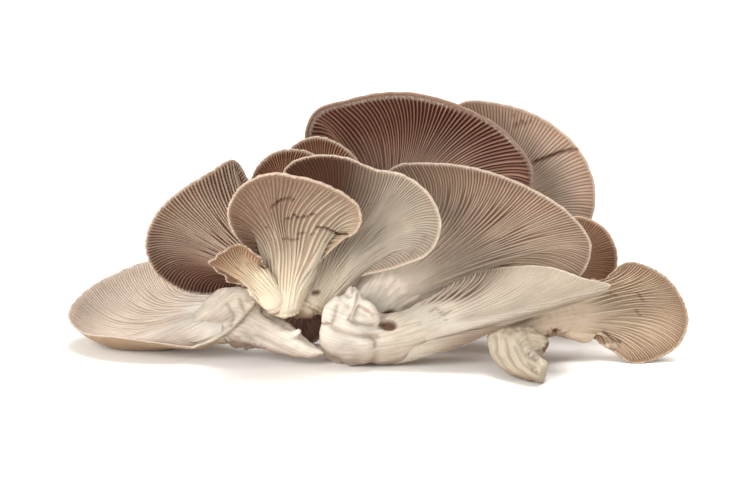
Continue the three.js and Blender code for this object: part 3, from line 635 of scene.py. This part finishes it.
def comb_field(m, u, v):
    """How much higher the gills stand in the stretch of v by the rim where they form a comb."""
    v_from, v_to, u_from, amount = m["comb"]
    from_ease, to_ease, u_ease = COMB_EASE
    stretch = smooth(v_from, v_from + from_ease, v) * (1 - smooth(v_to - to_ease, v_to, v))
    return amount * stretch * smooth(u_from, u_from + u_ease, u)


def row_places(rows):
    """The places of the rows in u: even ones, and a few close to the rim."""
    even = np.linspace(0, 1 - LAST_ROWS, rows)
    return np.concatenate([even, 1 - np.array(RIM_ROWS[::-1]), [1.0]])


def column_places(slots):
    """The places of the columns in v: the same four in every gill's slot, and the last side."""
    middles = (np.arange(slots) + 0.5) * 2 / slots - 1
    places = middles[:, None] + COLUMNS_IN_SLOT[None] * 2 / slots
    return np.append(places.ravel(), 1.0)


# ---- Meshes

MASKS = ("crest", "stem", "margin", "skin", "shade", "crack", "tan", "crinkle")


def in_scene(name, data):
    """A new object of the data, in the scene."""
    thing = bpy.data.objects.new(name, data)
    bpy.context.scene.collection.objects.link(thing)
    return thing


def finished(name, mesh, masks, grain):
    """The object of a mesh, smooth, with its masks and its grain kept as attributes."""
    for mask, values in masks.items():
        mesh.attributes.new(mask, "FLOAT", "POINT").data.foreach_set("value", values.astype(np.float32))
    course = mesh.attributes.new("grain", "FLOAT_VECTOR", "POINT")
    course.data.foreach_set("vector", grain.astype(np.float32).ravel())
    mesh.shade_smooth()
    return in_scene(name, mesh)


class Surface:
    """Gathers grids of points with their masks, to be made one closed mesh."""

    def __init__(self):
        self.points, self.masks, self.grain, self.faces, self.size = [], [], [], [], 0

    def add(self, points, grain, **masks):
        """Adds a grid of points. Gives the grid of their numbers."""
        shape = points.shape[:-1]
        self.points.append(points.reshape(-1, 3))
        values = [np.broadcast_to(masks.get(name, 0.0), shape).reshape(-1) for name in MASKS]
        self.masks.append(np.stack(values, -1))
        self.grain.append(np.broadcast_to(grain, shape + (2,)).reshape(-1, 2))
        numbers = np.arange(self.size, self.size + points[..., 0].size).reshape(shape)
        self.size += numbers.size
        return numbers

    def quads(self, grid):
        """Faces between the neighbours of a grid of numbers."""
        a, b, c, d = grid[:-1, :-1], grid[:-1, 1:], grid[1:, 1:], grid[1:, :-1]
        self.faces.append(np.stack([a, b, c, c, d, a], -1).reshape(-1, 3))

    def fans(self, fine, coarse):
        """Faces between a row of many points and a row of few, BACK_RATIO to one: each stretch's
        first half fans out from the few's nearer point, its second half from the further one."""
        half = BACK_RATIO // 2
        starts = np.arange(len(coarse) - 1)[:, None] * BACK_RATIO
        first = starts + np.arange(half)
        second = starts + np.arange(half, BACK_RATIO)
        here, there = (np.broadcast_to(points[:, None], first.shape) for points in (coarse[:-1], coarse[1:]))
        near = np.stack([fine[first], fine[first + 1], here], -1)
        far = np.stack([fine[second], fine[second + 1], there], -1)
        middle = np.stack([fine[starts[:, 0] + half], coarse[1:], coarse[:-1]], -1)
        self.faces += [near.reshape(-1, 3), far.reshape(-1, 3), middle]

    def build(self, name):
        """The object: doubles merged and faces turned outwards."""
        points = (np.concatenate(self.points) - HEAP_CENTRE) * MM
        points[:, 2] = np.maximum(points[:, 2], 0)
        mesh = bpy.data.meshes.new(name)
        mesh.from_pydata(points, [], np.concatenate(self.faces).tolist())
        masks = dict(zip(MASKS, np.concatenate(self.masks).T))
        grain = np.pad(np.concatenate(self.grain), ((0, 0), (0, 1)))
        thing = finished(name, mesh, masks, grain)
        work = bmesh.new()
        work.from_mesh(mesh)
        bmesh.ops.remove_doubles(work, verts=work.verts, dist=CLOSE)
        bmesh.ops.dissolve_degenerate(work, edges=work.edges, dist=CLOSE / 10)
        bmesh.ops.recalc_face_normals(work, faces=work.faces)
        work.to_mesh(mesh)
        work.free()
        return thing


def round_edge(middle, gills, outward, radius, turns):
    """A half round edge: middle + radius (gills cos t + outward sin t)."""
    return (middle[..., None, :] + radius[..., None, None] * (
        gills[..., None, :] * np.cos(turns)[:, None] + outward[..., None, :] * np.sin(turns)[:, None]))


def behind(m, directions):
    """How far a direction points away from the cap's gills: 0 in front and 1 behind."""
    return 1 - smooth(*FACING_AWAY, directions @ unit(np.array(m["faces"], float)))


def shaded(m, u, v):
    """How much painted shade the face has: the most of amount * smooth across v * smooth along u."""
    shade = 0 * u * v
    for v_from, v_to, u_from, amount in m["shade"]:
        deep = smooth(v_from, v_to, v) * smooth(u_from - SHADE_EASE, u_from + SHADE_EASE, u)
        shade = np.maximum(shade, amount * deep)
    return shade


def cracked(m, front, gills):
    """The face with its cracks pushed in by depth * exp(-(distance / width)^2), and their mask."""
    crack = np.zeros(front.shape[:-1])
    for depth, width, tint, line in m["cracks"]:
        near = np.exp(-(line_distance(front[..., 0], front[..., 2], line) / width) ** 2)
        front = front - gills * (depth * near)[..., None]
        crack = np.maximum(crack, tint * near)
    return front, crack


def torn_and_comb_shade(m, u, v, share, seed):
    """Mask of torn flesh and painted shade: the ragged stretch of a torn rim, and painted shade in the
    valleys of a comb.
    """
    v_torn, u_torn, amount = m["torn"]
    v_ease, u_ease = TEAR_EASE
    stretch = smooth(0, v_ease, v * np.sign(v_torn) - abs(v_torn)) * smooth(u_torn, u_torn + u_ease, u)
    ragged = amount * stretch * (0.7 + 0.3 * ripple(v * 40, u * 30, seed + 6))
    # Painted shade in a comb's valleys, the deeper the higher its gills stand.
    return np.maximum(ragged, COMB_VALLEY_SHADE * comb_field(m, u, v) * (1 - share))


def add_front(surface, name, m, seed):
    """Adds the gilled face: middle + gills' direction * (half thickness + gill height), on columns
    that swing by wiggle * ripple and bow by bow v (1 - |v|) 4 u (1 - u), with the cap's waves and
    its frayed rim added to the middle. Gives the arrays that the other faces start from."""
    start = max(0.0, UNTIL.get(name, 0) - 2 * SEAM)
    u = start + (1 - start) * row_places(m["rows"])[:, None]
    v = column_places(m["slots"])[None]
    sunk = (name in UNTIL) * (1 - smooth(start, start + SEAM, u))

    swing = m["wiggle"] * 2 / m["slots"] * (1 - v ** 2)
    v_bent = v + swing * (ripple(u * 9, v * 6, seed) * smooth(*SWING_STARTS, u))
    v_bent = v_bent + m["bow"] * v * (1 - np.abs(v)) * 4 * u * (1 - u)
    v_bent = v_bent * (1 - NARROWING * sunk)
    middle, gills, outward, mm_per_v = frame_of(m, u, v_bent)
    steps = np.linalg.norm(np.diff(middle, axis=0), axis=-1)
    along = np.concatenate([np.zeros((1, steps.shape[1])), np.cumsum(steps, axis=0)])
    to_rim = along[-1:] - along
    wave = m["waves"] * smooth(*WAVES_START, u) * ripple(v * 5, u * 2, seed + 1)
    fray = m["fray"] * ripple(v * 30, 0 * u, seed + 4) * smooth(*FRAY_STARTS, u)
    middle = middle + gills * wave[..., None] + outward * fray[..., None]

    ends = margin_width(m, v, seed + 7)
    height, share, fade = gill_field(m, u, v, mm_per_v, to_rim, ends, seed + 2)
    thick = np.maximum(half_thickness(m, u) * section(u, v) - SINK * sunk, THINNEST)
    front, crack = cracked(m, middle + gills * (thick + height)[..., None], gills)
    # Cracks, torn flesh and the painted shade of a comb's valleys share one mask.
    crack = np.maximum(crack, torn_and_comb_shade(m, u, v, share, seed))
    grain = np.stack([v * m["slots"] * SLOT_GRAIN + 0 * u, along], -1)
    stem = 1 - smooth(*m["bare"], u + BARE_UNEVENNESS * ripple(v * 7, u * 5, seed + 3))
    crinkle = np.exp(-((to_rim - ends * m["crinkle"]) / CRINKLE_WIDTH) ** 2)
    skin = smooth(*SKIN_STARTS, u)
    # The shade mask is painted shade, laid into the face's colour where the cap curls away from the light or
    # lies under its neighbours.
    surface.quads(surface.add(front, grain, crest=share, stem=stem, margin=1 - fade, crack=crack,
                              shade=shaded(m, u, v), tan=m["tan"] * np.exp(-to_rim / m["tan_width"]),
                              crinkle=crinkle, skin=behind(m, gills) * skin))
    return SimpleNamespace(start=start, middle=middle, gills=gills, outward=outward, thick=thick,
                           front=front, grain=grain, stem=stem, crack=crack, crinkle=crinkle, skin=skin)


def add_rim(surface, m, face, seed):
    """Adds the half round rim, its radius half thickness * (1 + roughness * ripple). Gives the grid
    of its numbers."""
    v = column_places(m["slots"])
    radius = face.thick[-1] * (1 + RIM_ROUGHNESS * ripple(v * 90, 0 * v, seed + 7))
    rim = round_edge(face.middle[-1], face.gills[-1], face.outward[-1], radius, TURNS)
    rim[:, 0] = face.front[-1]
    grain = face.grain[-1][:, None] + np.stack([0 * TURNS, TURNS], -1)[None]
    numbers = surface.add(rim, grain, margin=1.0, crack=face.crack[-1][:, None], tan=0.5 * m["tan"],
                          skin=smooth(*SKIN_ROUND_RIM, TURNS / math.pi)[None],
                          crinkle=face.crinkle[-1][:, None] * np.cos(TURNS / 2) ** 2)
    surface.quads(numbers)
    return numbers


def add_side(surface, m, face, column):
    """Adds the half round side at the first or the last column, square to the gills and away from
    the next column, and the quarter of a ball between it and the rim."""
    middle, gills, outward = face.middle[:, column], face.gills[:, column], face.outward[:, column]
    tangent = unit(middle - face.middle[:, column - 1 if column else 1])
    side = unit(np.cross(np.cross(outward, tangent), outward))
    side = unit(side - np.sum(side * gills, -1, keepdims=True) * gills)
    thick = face.thick[:, column]
    edge = round_edge(middle, gills, side, thick, TURNS)
    edge[:, 0] = face.front[:, column]
    grain = face.grain[:, column][:, None] + 0 * TURNS[:, None]
    hidden = behind(m, unit(edge - middle[:, None]))
    skin = np.maximum(smooth(*SKIN_ROUND_SIDE, TURNS / math.pi)[None], hidden)
    surface.quads(surface.add(edge, grain, skin=skin * face.skin, margin=0.5 * (1 - hidden),
                              stem=np.maximum(face.stem[:, column][:, None], hidden),
                              crack=face.crack[:, column][:, None]))
    lean = np.linspace(0, math.pi / 2, ROUND_STEPS // 2 + 1)
    mixed = side[-1] * np.cos(lean)[:, None] + outward[-1] * np.sin(lean)[:, None]
    corner = middle[-1] + thick[-1] * (
        gills[-1] * np.cos(TURNS)[:, None, None] + mixed[None] * np.sin(TURNS)[:, None, None])
    surface.quads(surface.add(corner, face.grain[-1, column], margin=1.0))


def close_foot(surface, rows, centre, down, radius, seed):
    """The foot: rings that shrink from its rows to the middle by the share s, pushed out by a dome
    FOOT_DOME radius sqrt(1 - s^2) and roughened by ripple * (1 - s^2), as torn flesh is."""
    for row in rows:
        shares = np.linspace(1, 0, FOOT_RINGS)[:, None]
        ring = centre + (row[None] - centre) * shares[..., None]
        dome = radius * FOOT_DOME * np.sqrt(np.maximum(0, 1 - shares ** 2))
        rough = FOOT_ROUGHNESS * ripple(ring[..., 0] * 1.3, ring[..., 2] * 1.3 + ring[..., 1], seed + 9)
        ring = ring + down * (dome + rough * (1 - shares ** 2))[..., None]
        surface.quads(surface.add(ring, np.stack([ring[..., 0], ring[..., 2]], -1), stem=1.0))


def mushroom(name, m, seed):
    """One mushroom: its gilled face, its rim, its back, which is middle - gills' direction * half
    thickness on fewer columns, its two sides and its foot."""
    surface = Surface()
    face = add_front(surface, name, m, seed)
    rim = add_rim(surface, m, face, seed)
    back = (face.middle - face.gills * face.thick[..., None])[:, ::BACK_RATIO]
    numbers = surface.add(back[:-1], face.grain[:-1, ::BACK_RATIO], stem=1.0, skin=face.skin[:-1])
    surface.quads(numbers)
    surface.fans(rim[:, -1], numbers[-1])
    for column in (0, -1):
        add_side(surface, m, face, column)
    foot, above = (sheet(m, u, np.array(0.0)) for u in (face.start, face.start + 2 * SHEET_STEP))
    close_foot(surface, (face.front[0], back[0]), foot, unit(foot - above), face.thick[0].max(), seed)
    return surface.build(name)


# ---- The bases the stems grow out of

def closed_tube(rings):
    """Points and faces of a closed solid from rings of points: its side, and a fan at each end."""
    count, size = rings.shape[:2]
    numbers = np.arange(count * size).reshape(count, size)
    here, there = numbers[:-1], numbers[1:]
    beside, across_there = np.roll(here, -1, 1), np.roll(there, -1, 1)
    faces = [np.stack([here, beside, across_there, across_there, there, here], -1).reshape(-1, 3)]
    for end, turned in ((0, -1), (-1, 1)):
        tip = np.full(size, count * size + (end == -1))
        fan = np.stack([numbers[end], np.roll(numbers[end], -1), tip], -1)
        faces.append(fan[:, ::turned])
    points = np.vstack([rings.reshape(-1, 3), rings[0].mean(0), rings[-1].mean(0)])
    return points, np.concatenate(faces)


def stem_rings(m, until):
    """Rings round a stem from its foot to u = until, where they sink below the stem's own face, with
    the grain of the stem at each of their points."""
    u = np.linspace(0, until, STEM_RINGS)[:, None]
    v = np.linspace(-1, 1, STEM_COLUMNS)[None]
    sunk = smooth(until - SEAM, until, u)
    middle, gills, _, _ = frame_of(m, u, v * (1 - NARROWING / 2 * sunk))
    thick = np.maximum(half_thickness(m, u) * section(u, v) - SINK * sunk, THINNEST)[..., None]
    along = np.linalg.norm(middle - middle[:1], axis=-1)
    grain = np.stack([v * STEM_GRAIN + 0 * u, along, u / until + 0 * v], -1)
    rings = np.concatenate([middle + gills * thick, (middle - gills * thick)[:, ::-1]], axis=1)
    return rings, np.concatenate([grain, grain[:, ::-1]], axis=1)


def lump_rings(centre, radii, taper, facets, seed):
    """Rings of an uneven lump: an ellipsoid of radius 1 + .08 sin(3a + 2b) + .06 sin(5a - 3b), made
    1 - taper cos b as wide, and cut towards a few soft planes: the soft least, over the planes, of
    how far out one stands over the cosine to it."""
    a = np.linspace(0, 2 * math.pi, LUMP_COLUMNS, endpoint=False)[None]
    b = np.linspace(0.02, math.pi - 0.02, LUMP_RINGS)[:, None]
    direction = np.stack([np.sin(b) * np.cos(a), np.sin(b) * np.sin(a), np.cos(b) + 0 * a], -1)
    swell = 1 + 0.08 * np.sin(3 * a + 2 * b) + 0.06 * np.sin(5 * a - 3 * b)
    rng = np.random.default_rng(seed)
    facing = np.clip(direction @ unit(rng.normal(size=(FACET_PLANES, 3))).T, 0.2, None)
    reach = rng.uniform(*FACET_RANGE, FACET_PLANES) / facing
    pebble = -np.log(np.exp(-FACET_BLEND * reach).sum(-1)) / FACET_BLEND
    swell = swell * (1 + facets * (pebble / pebble.mean() - 1))
    direction[..., :2] = direction[..., :2] * (1 - taper * np.cos(b))[..., None]
    return np.array(centre) + direction * np.array(radii) * swell[..., None]


def strand_rings(rows):
    """Round rings along the curve through the rows of x, y, z and radius."""
    rows = np.array(rows, float)
    share = np.linspace(0, 1, STRAND_RINGS)
    path = rim_curve(rows[:, :3], share)
    steps = np.concatenate([[0], np.cumsum(np.linalg.norm(np.diff(rows[:, :3], axis=0), axis=1))])
    radius = np.interp(share * steps[-1], steps, rows[:, 3])[:, None, None]
    tangent = unit(np.gradient(path, axis=0))
    side = unit(np.cross(tangent, [0.3, -1.0, 0.2]))[:, None]
    other = unit(np.cross(tangent[:, None], side))
    turn = np.linspace(0, 2 * math.pi, STRAND_COLUMNS, endpoint=False)[None, :, None]
    return path[:, None] + radius * (side * np.cos(turn) + other * np.sin(turn))


def blended(name, solids):
    """One mesh of several closed solids: put on one even grid and smoothed."""
    sizes = np.cumsum([0] + [len(points) for points, _ in solids])
    points = np.concatenate([points for points, _ in solids]) * MM
    faces = np.concatenate([faces + size for (_, faces), size in zip(solids, sizes)])
    rough = bpy.data.meshes.new(name + "_rough")
    rough.from_pydata(points, [], faces.tolist())
    thing = in_scene(name + "_rough", rough)
    grid = thing.modifiers.new("grid", "REMESH")
    grid.mode = "VOXEL"
    grid.voxel_size = VOXEL * MM
    soften = thing.modifiers.new("soften", "SMOOTH")
    soften.factor = 0.5
    soften.iterations = BLEND
    view = bpy.context.evaluated_depsgraph_get()
    mesh = bpy.data.meshes.new_from_object(thing.evaluated_get(view))
    bpy.data.objects.remove(thing)
    return mesh


def nearest_grain(points, stems):
    """Grain of the stems at each point, and how much the first of them counts there: means over the
    stems' points, weighted by exp((least squared distance - squared distance) / reach^2)."""
    known = np.concatenate([ring.reshape(-1, 3) for ring, _ in stems])[::2]
    grain = np.concatenate([grain.reshape(-1, 3) for _, grain in stems])[::2]
    squares = (points ** 2).sum(1)[:, None] + (known ** 2).sum(1) - 2 * points @ known.T
    nearest = squares.min(1, keepdims=True)
    weights = np.exp((nearest - squares) / GRAIN_REACH ** 2)
    weight = weights.sum(1, keepdims=True)
    is_first = (np.arange(len(known)) < stems[0][0][..., 0].size / 2).astype(float)
    return weights @ grain / weight, weights @ is_first / weight[:, 0]


def oval_patch(x, z, middle_x, middle_z, half_x, half_z):
    """Distance from a patch's middle, 1 on the oval of its two half widths."""
    return np.hypot((x - middle_x) / half_x, (z - middle_z) / half_z)


def base(name, spec, seed):
    """The flesh of one clump: its stems, lumps and strands blended, then sunk by depth *
    exp(-(distance / width)^2) along the folds with painted shade in them, holed at the pits with
    painted shade in their hollows, stained in ragged ovals, given painted shade on its underside
    and roughened with ripples along its grain. The grain is the nearest
    stem's, or where there is a course, height above that course by x, the course being the bent
    line (rise + fall) / 2 (x - bend) - (rise - fall) / 2 hypot(x - bend, softness)."""
    stems = [stem_rings(MUSHROOMS[grown], until) for grown, until in spec["grown"]]
    lumps = [lump_rings(*lump, seed + n) for n, lump in enumerate(spec["lumps"])]
    rings = [ring for ring, _ in stems] + lumps + [strand_rings(rows) for rows in spec.get("strands", ())]
    mesh = blended(name, [closed_tube(ring) for ring in rings])
    count = len(mesh.vertices)
    points, normals = np.zeros(count * 3), np.zeros(count * 3)
    mesh.vertices.foreach_get("co", points)
    mesh.vertex_normals.foreach_get("vector", normals)
    points, normals = points.reshape(-1, 3) / MM, normals.reshape(-1, 3)
    grain, first = nearest_grain(points, stems)

    x, y, z = points.T
    if "course" in spec:
        bend, rise, fall = spec["course"]
        height = (rise + fall) / 2 * (x - bend) - (rise - fall) / 2 * np.hypot(x - bend, COURSE_BEND)
        grain[:, 0], grain[:, 1] = COURSE_GRAIN * (z - height), x
    front = smooth(*FACING_FRONT, -normals[:, 1])
    sunk = -FLESH_BUMPS * ripple(x * 1.1 + y * 0.5, z * 1.1 + y * 0.6, seed + 20)
    sunk -= FIBRE_BUMPS * ripple(grain[:, 0] * 1.4, grain[:, 1] * 0.2, seed + 21, 12)
    # Painted shade on the underside, by how far it faces down.
    shade, crack = UNDER_SHADE * smooth(*UNDERSIDE, normals[:, 2]), np.zeros(count)
    # The folds are sunk and given painted shade.
    for depth, width, line in spec.get("folds", ()):
        near = np.exp(-(line_distance(x, z, line) / width) ** 2) * front
        sunk += depth * near
        shade = np.maximum(shade, FOLD_SHADE * near)
    # A pit is sunk and painted dark over its hollow, as painted shade of the hole.
    for *oval, depth in spec.get("pits", ()):
        near = (1 - smooth(*PIT_EDGE, oval_patch(x, z, *oval))) * front
        sunk += depth * near
        crack = np.maximum(crack, near)
    ragged = STAIN_RAGGEDNESS * ripple(x * 2.1, z * 2.1 + y * 0.7, seed + 22)
    for *oval, tint in spec.get("stains", ()):
        near = (1 - smooth(*STAIN_EDGE, oval_patch(x, z, *oval) + ragged)) * front
        sunk += STAIN_BUMPS * near * ragged
        crack = np.maximum(crack, tint * near)
    points = (points - normals * sunk[:, None] - HEAP_CENTRE) * MM
    points[:, 2] = np.maximum(points[:, 2], 0)
    mesh.vertices.foreach_set("co", points.ravel())
    masks = dict.fromkeys(MASKS, np.zeros(count))
    past_foot = smooth(*FOOT_COLOUR, grain[:, 2])
    masks.update(stem=1 - past_foot, crest=np.ones(count), shade=shade, crack=crack, margin=first * past_foot)
    return finished(name, mesh, masks, grain)


# ---- Materials

def mushroom_flesh_group():
    """Colour and bump height of mushroom flesh. Colour: gills light on the crest and darker in the
    valley, where the flesh is darkened with painted shade between the gills, the stem, the margin and
    the skin laid over them by their masks, multiplied by a tint of painted shade, a tint near the rim,
    and a tint over cracks, torn flesh and stains and as painted shade in comb valleys and pits, with
    pale specks on the crinkled line, all times a tone of streaks along the grain, blotches and fine
    specks. Height: fibres along the grain and specks."""
    group = bpy.data.node_groups.new("mushroom_flesh", "ShaderNodeTree")
    for name in ("Crest", "Valley", "Margin", "Stem", "Skin"):
        group.interface.new_socket(name, in_out="INPUT", socket_type="NodeSocketColor")
    group.interface.new_socket("Streaks", in_out="INPUT", socket_type="NodeSocketFloat")
    group.interface.new_socket("Colour", in_out="OUTPUT", socket_type="NodeSocketColor")
    group.interface.new_socket("Height", in_out="OUTPUT", socket_type="NodeSocketFloat")
    nodes, links = group.nodes, group.links
    inlet = nodes.new("NodeGroupInput")
    outlet = nodes.new("NodeGroupOutput")

    def feed(value, place):
        if isinstance(value, (int, float, tuple)):
            place.default_value = value
        else:
            links.new(value, place)

    def mask(name):
        node = nodes.new("ShaderNodeAttribute")
        node.attribute_name = name
        return node.outputs["Fac"]

    def noise(vector, scale, detail, rough=0.6):
        node = nodes.new("ShaderNodeTexNoise")
        node.inputs["Scale"].default_value = scale
        node.inputs["Detail"].default_value = detail
        node.inputs["Roughness"].default_value = rough
        links.new(vector, node.inputs["Vector"])
        return node.outputs["Fac"]

    def ranged(value, low, high, to_low=0.0, to_high=1.0):
        node = nodes.new("ShaderNodeMapRange")
        node.inputs["From Min"].default_value = low
        node.inputs["From Max"].default_value = high
        node.inputs["To Min"].default_value = to_low
        node.inputs["To Max"].default_value = to_high
        links.new(value, node.inputs["Value"])
        return node.outputs["Result"]

    def mix(factor, a, b, blend="MIX"):
        node = nodes.new("ShaderNodeMix")
        node.data_type = "RGBA"
        node.blend_type = blend
        for value, place in ((factor, node.inputs[0]), (a, node.inputs[6]), (b, node.inputs[7])):
            feed(value, place)
        return node.outputs[2]

    def scaled(vector, x, y, z):
        node = nodes.new("ShaderNodeMapping")
        node.inputs["Scale"].default_value = (x, y, z)
        links.new(vector, node.inputs["Vector"])
        return node.outputs["Vector"]

    def maths(operation, *values):
        node = nodes.new("ShaderNodeMath")
        node.operation = operation
        for value, place in zip(values, node.inputs):
            feed(value, place)
        return node.outputs[0]

    grain = nodes.new("ShaderNodeAttribute")
    grain.attribute_name = "grain"
    where = nodes.new("ShaderNodeTexCoord").outputs["Object"]
    streaks = noise(scaled(grain.outputs["Vector"], 1.6, 0.09, 1), 1.0, 3.0)
    blotches = noise(where, 55.0, 3.0)
    specks = noise(where, 900.0, 3.0, 0.7)
    pale_specks = ranged(noise(where, 1100.0, 2.0), 0.4, 0.6, 0.0, 0.75)
    fibres = noise(scaled(grain.outputs["Vector"], 2.2, 0.12, 1), 1.0, 4.0, 0.7)

    # The valleys are darker than the crests: painted shade between the gills.
    gills = mix(ranged(mask("crest"), 0.06, 0.8), inlet.outputs["Valley"], inlet.outputs["Crest"])
    flesh = mix(mask("stem"), gills, inlet.outputs["Stem"])
    flesh = mix(mask("margin"), flesh, inlet.outputs["Margin"])
    flesh = mix(mask("skin"), flesh, inlet.outputs["Skin"])
    # Tints: painted shade, the rim's own tan, and cracks, torn flesh and stains with the painted shade of
    # comb valleys and pits.
    for name, tint in (("shade", SHADE_TINT), ("tan", RIM_TINT), ("crack", MARK_AND_SHADE_TINT)):
        flesh = mix(1.0, flesh, mix(mask(name), (1, 1, 1, 1), tint), "MULTIPLY")
    flesh = mix(maths("MULTIPLY", mask("crinkle"), pale_specks), flesh, CRINKLE_CREAM)
    streaked = maths("MULTIPLY_ADD", ranged(streaks, 0.3, 0.7, -0.15, 0.11), inlet.outputs["Streaks"], 1.0)
    blotched = maths("MULTIPLY", streaked, ranged(blotches, 0.3, 0.7, 0.88, 1.08))
    tone = maths("MULTIPLY", blotched, ranged(specks, 0.3, 0.7, 0.96, 1.03))
    grey = nodes.new("ShaderNodeCombineColor")
    for channel in grey.inputs:
        links.new(tone, channel)
    links.new(mix(1.0, flesh, grey.outputs[0], "MULTIPLY"), outlet.inputs["Colour"])
    height = maths("ADD", maths("MULTIPLY", fibres, 0.7), maths("MULTIPLY", specks, 0.3))
    links.new(height, outlet.inputs["Height"])
    return group


def flesh_material(name, colours, group):
    """A piece's own material: the flesh group with its colours, matt and slightly waxy."""
    material = bpy.data.materials.new(name + "_flesh")
    material.use_nodes = True
    nodes, links = material.node_tree.nodes, material.node_tree.links
    shader = nodes["Principled BSDF"]
    flesh = nodes.new("ShaderNodeGroup")
    flesh.node_tree = group
    for part, colour in colours.items():
        flesh.inputs[part.capitalize()].default_value = (*colour, 1)
    flesh.inputs["Streaks"].default_value = STREAKS_IN_BASE if name in BASES else 1.0
    bump = nodes.new("ShaderNodeBump")
    bump.inputs["Strength"].default_value = 0.35
    bump.inputs["Distance"].default_value = 0.0005
    links.new(flesh.outputs["Height"], bump.inputs["Height"])
    links.new(bump.outputs["Normal"], shader.inputs["Normal"])
    links.new(flesh.outputs["Colour"], shader.inputs["Base Color"])
    shader.inputs["Roughness"].default_value = 0.62
    shader.inputs["Specular IOR Level"].default_value = 0.35
    shader.inputs["Subsurface Weight"].default_value = 0.18
    shader.inputs["Subsurface Radius"].default_value = (1.0, 0.6, 0.35)
    shader.inputs["Subsurface Scale"].default_value = 0.0015
    return material


# ---- The scene

def dress():
    """Makes every mushroom and base, each riding on the root and standing for its solid."""
    group = mushroom_flesh_group()
    made = [(name, m, mushroom(name, m, 100 * k)) for k, (name, m) in enumerate(MUSHROOMS.items())]
    made += [(name, spec, base(name, spec, 7 + k)) for k, (name, spec) in enumerate(BASES.items())]
    for name, spec, piece in made:
        piece.data.materials.append(flesh_material(name, COLOURS[name], group))
        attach(piece, "root")
        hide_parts(spec["node"])


def studio():
    """A pale floor, a white surround, a soft sun from above and a small fill from the front."""
    half = 6.0
    mesh = bpy.data.meshes.new("floor")
    corners = [(-half, -half, 0), (half, -half, 0), (half, half, 0), (-half, half, 0)]
    mesh.from_pydata(corners, [], [(0, 1, 2, 3)])
    floor = in_scene("floor", mesh)
    paint = bpy.data.materials.new("floor_paint")
    paint.use_nodes = True
    shader = paint.node_tree.nodes["Principled BSDF"]
    shader.inputs["Base Color"].default_value = (0.95, 0.92, 0.87, 1)
    shader.inputs["Roughness"].default_value = 0.9
    shader.inputs["Specular IOR Level"].default_value = 0.1
    floor.data.materials.append(paint)

    world = bpy.data.worlds.new("surround")
    bpy.context.scene.world = world
    world.use_nodes = True
    background = world.node_tree.nodes["Background"]
    background.inputs["Color"].default_value = (1, 1, 1, 1)
    background.inputs["Strength"].default_value = 0.62

    sun = bpy.data.lights.new("key_light", "SUN")
    sun.energy = 2.7
    sun.angle = math.radians(32)
    fill = bpy.data.lights.new("front_fill", "AREA")
    fill.shape = "SQUARE"
    fill.size = 0.5
    fill.energy = 8.0
    for light, place, aim in ((sun, (0.15, 0.25, 1.0), (0, 0, 0)), (fill, (-0.6, -0.7, 0.5), (0, 0, 0.05))):
        thing = in_scene(light.name, light)
        thing.location = place
        thing.rotation_euler = (Vector(aim) - Vector(place)).to_track_quat("-Z", "Y").to_euler()


def camera():
    """A long lens a little above the heap, looking along +Y."""
    elevation, distance = math.radians(15), 0.875
    data = bpy.data.cameras.new("camera")
    data.lens = 100.0
    data.sensor_width = 36.0
    data.clip_start = 0.01
    thing = in_scene("camera", data)
    back = Vector((0, -math.cos(elevation), math.sin(elevation)))
    thing.location = Vector(CAMERA_AIM * MM) - Vector(HEAP_CENTRE * MM) + back * distance
    thing.rotation_euler = (-back).to_track_quat("-Z", "Y").to_euler()
    bpy.context.scene.camera = thing


camera()
studio()
dress()
bpy.context.scene.view_settings.view_transform = "Standard"
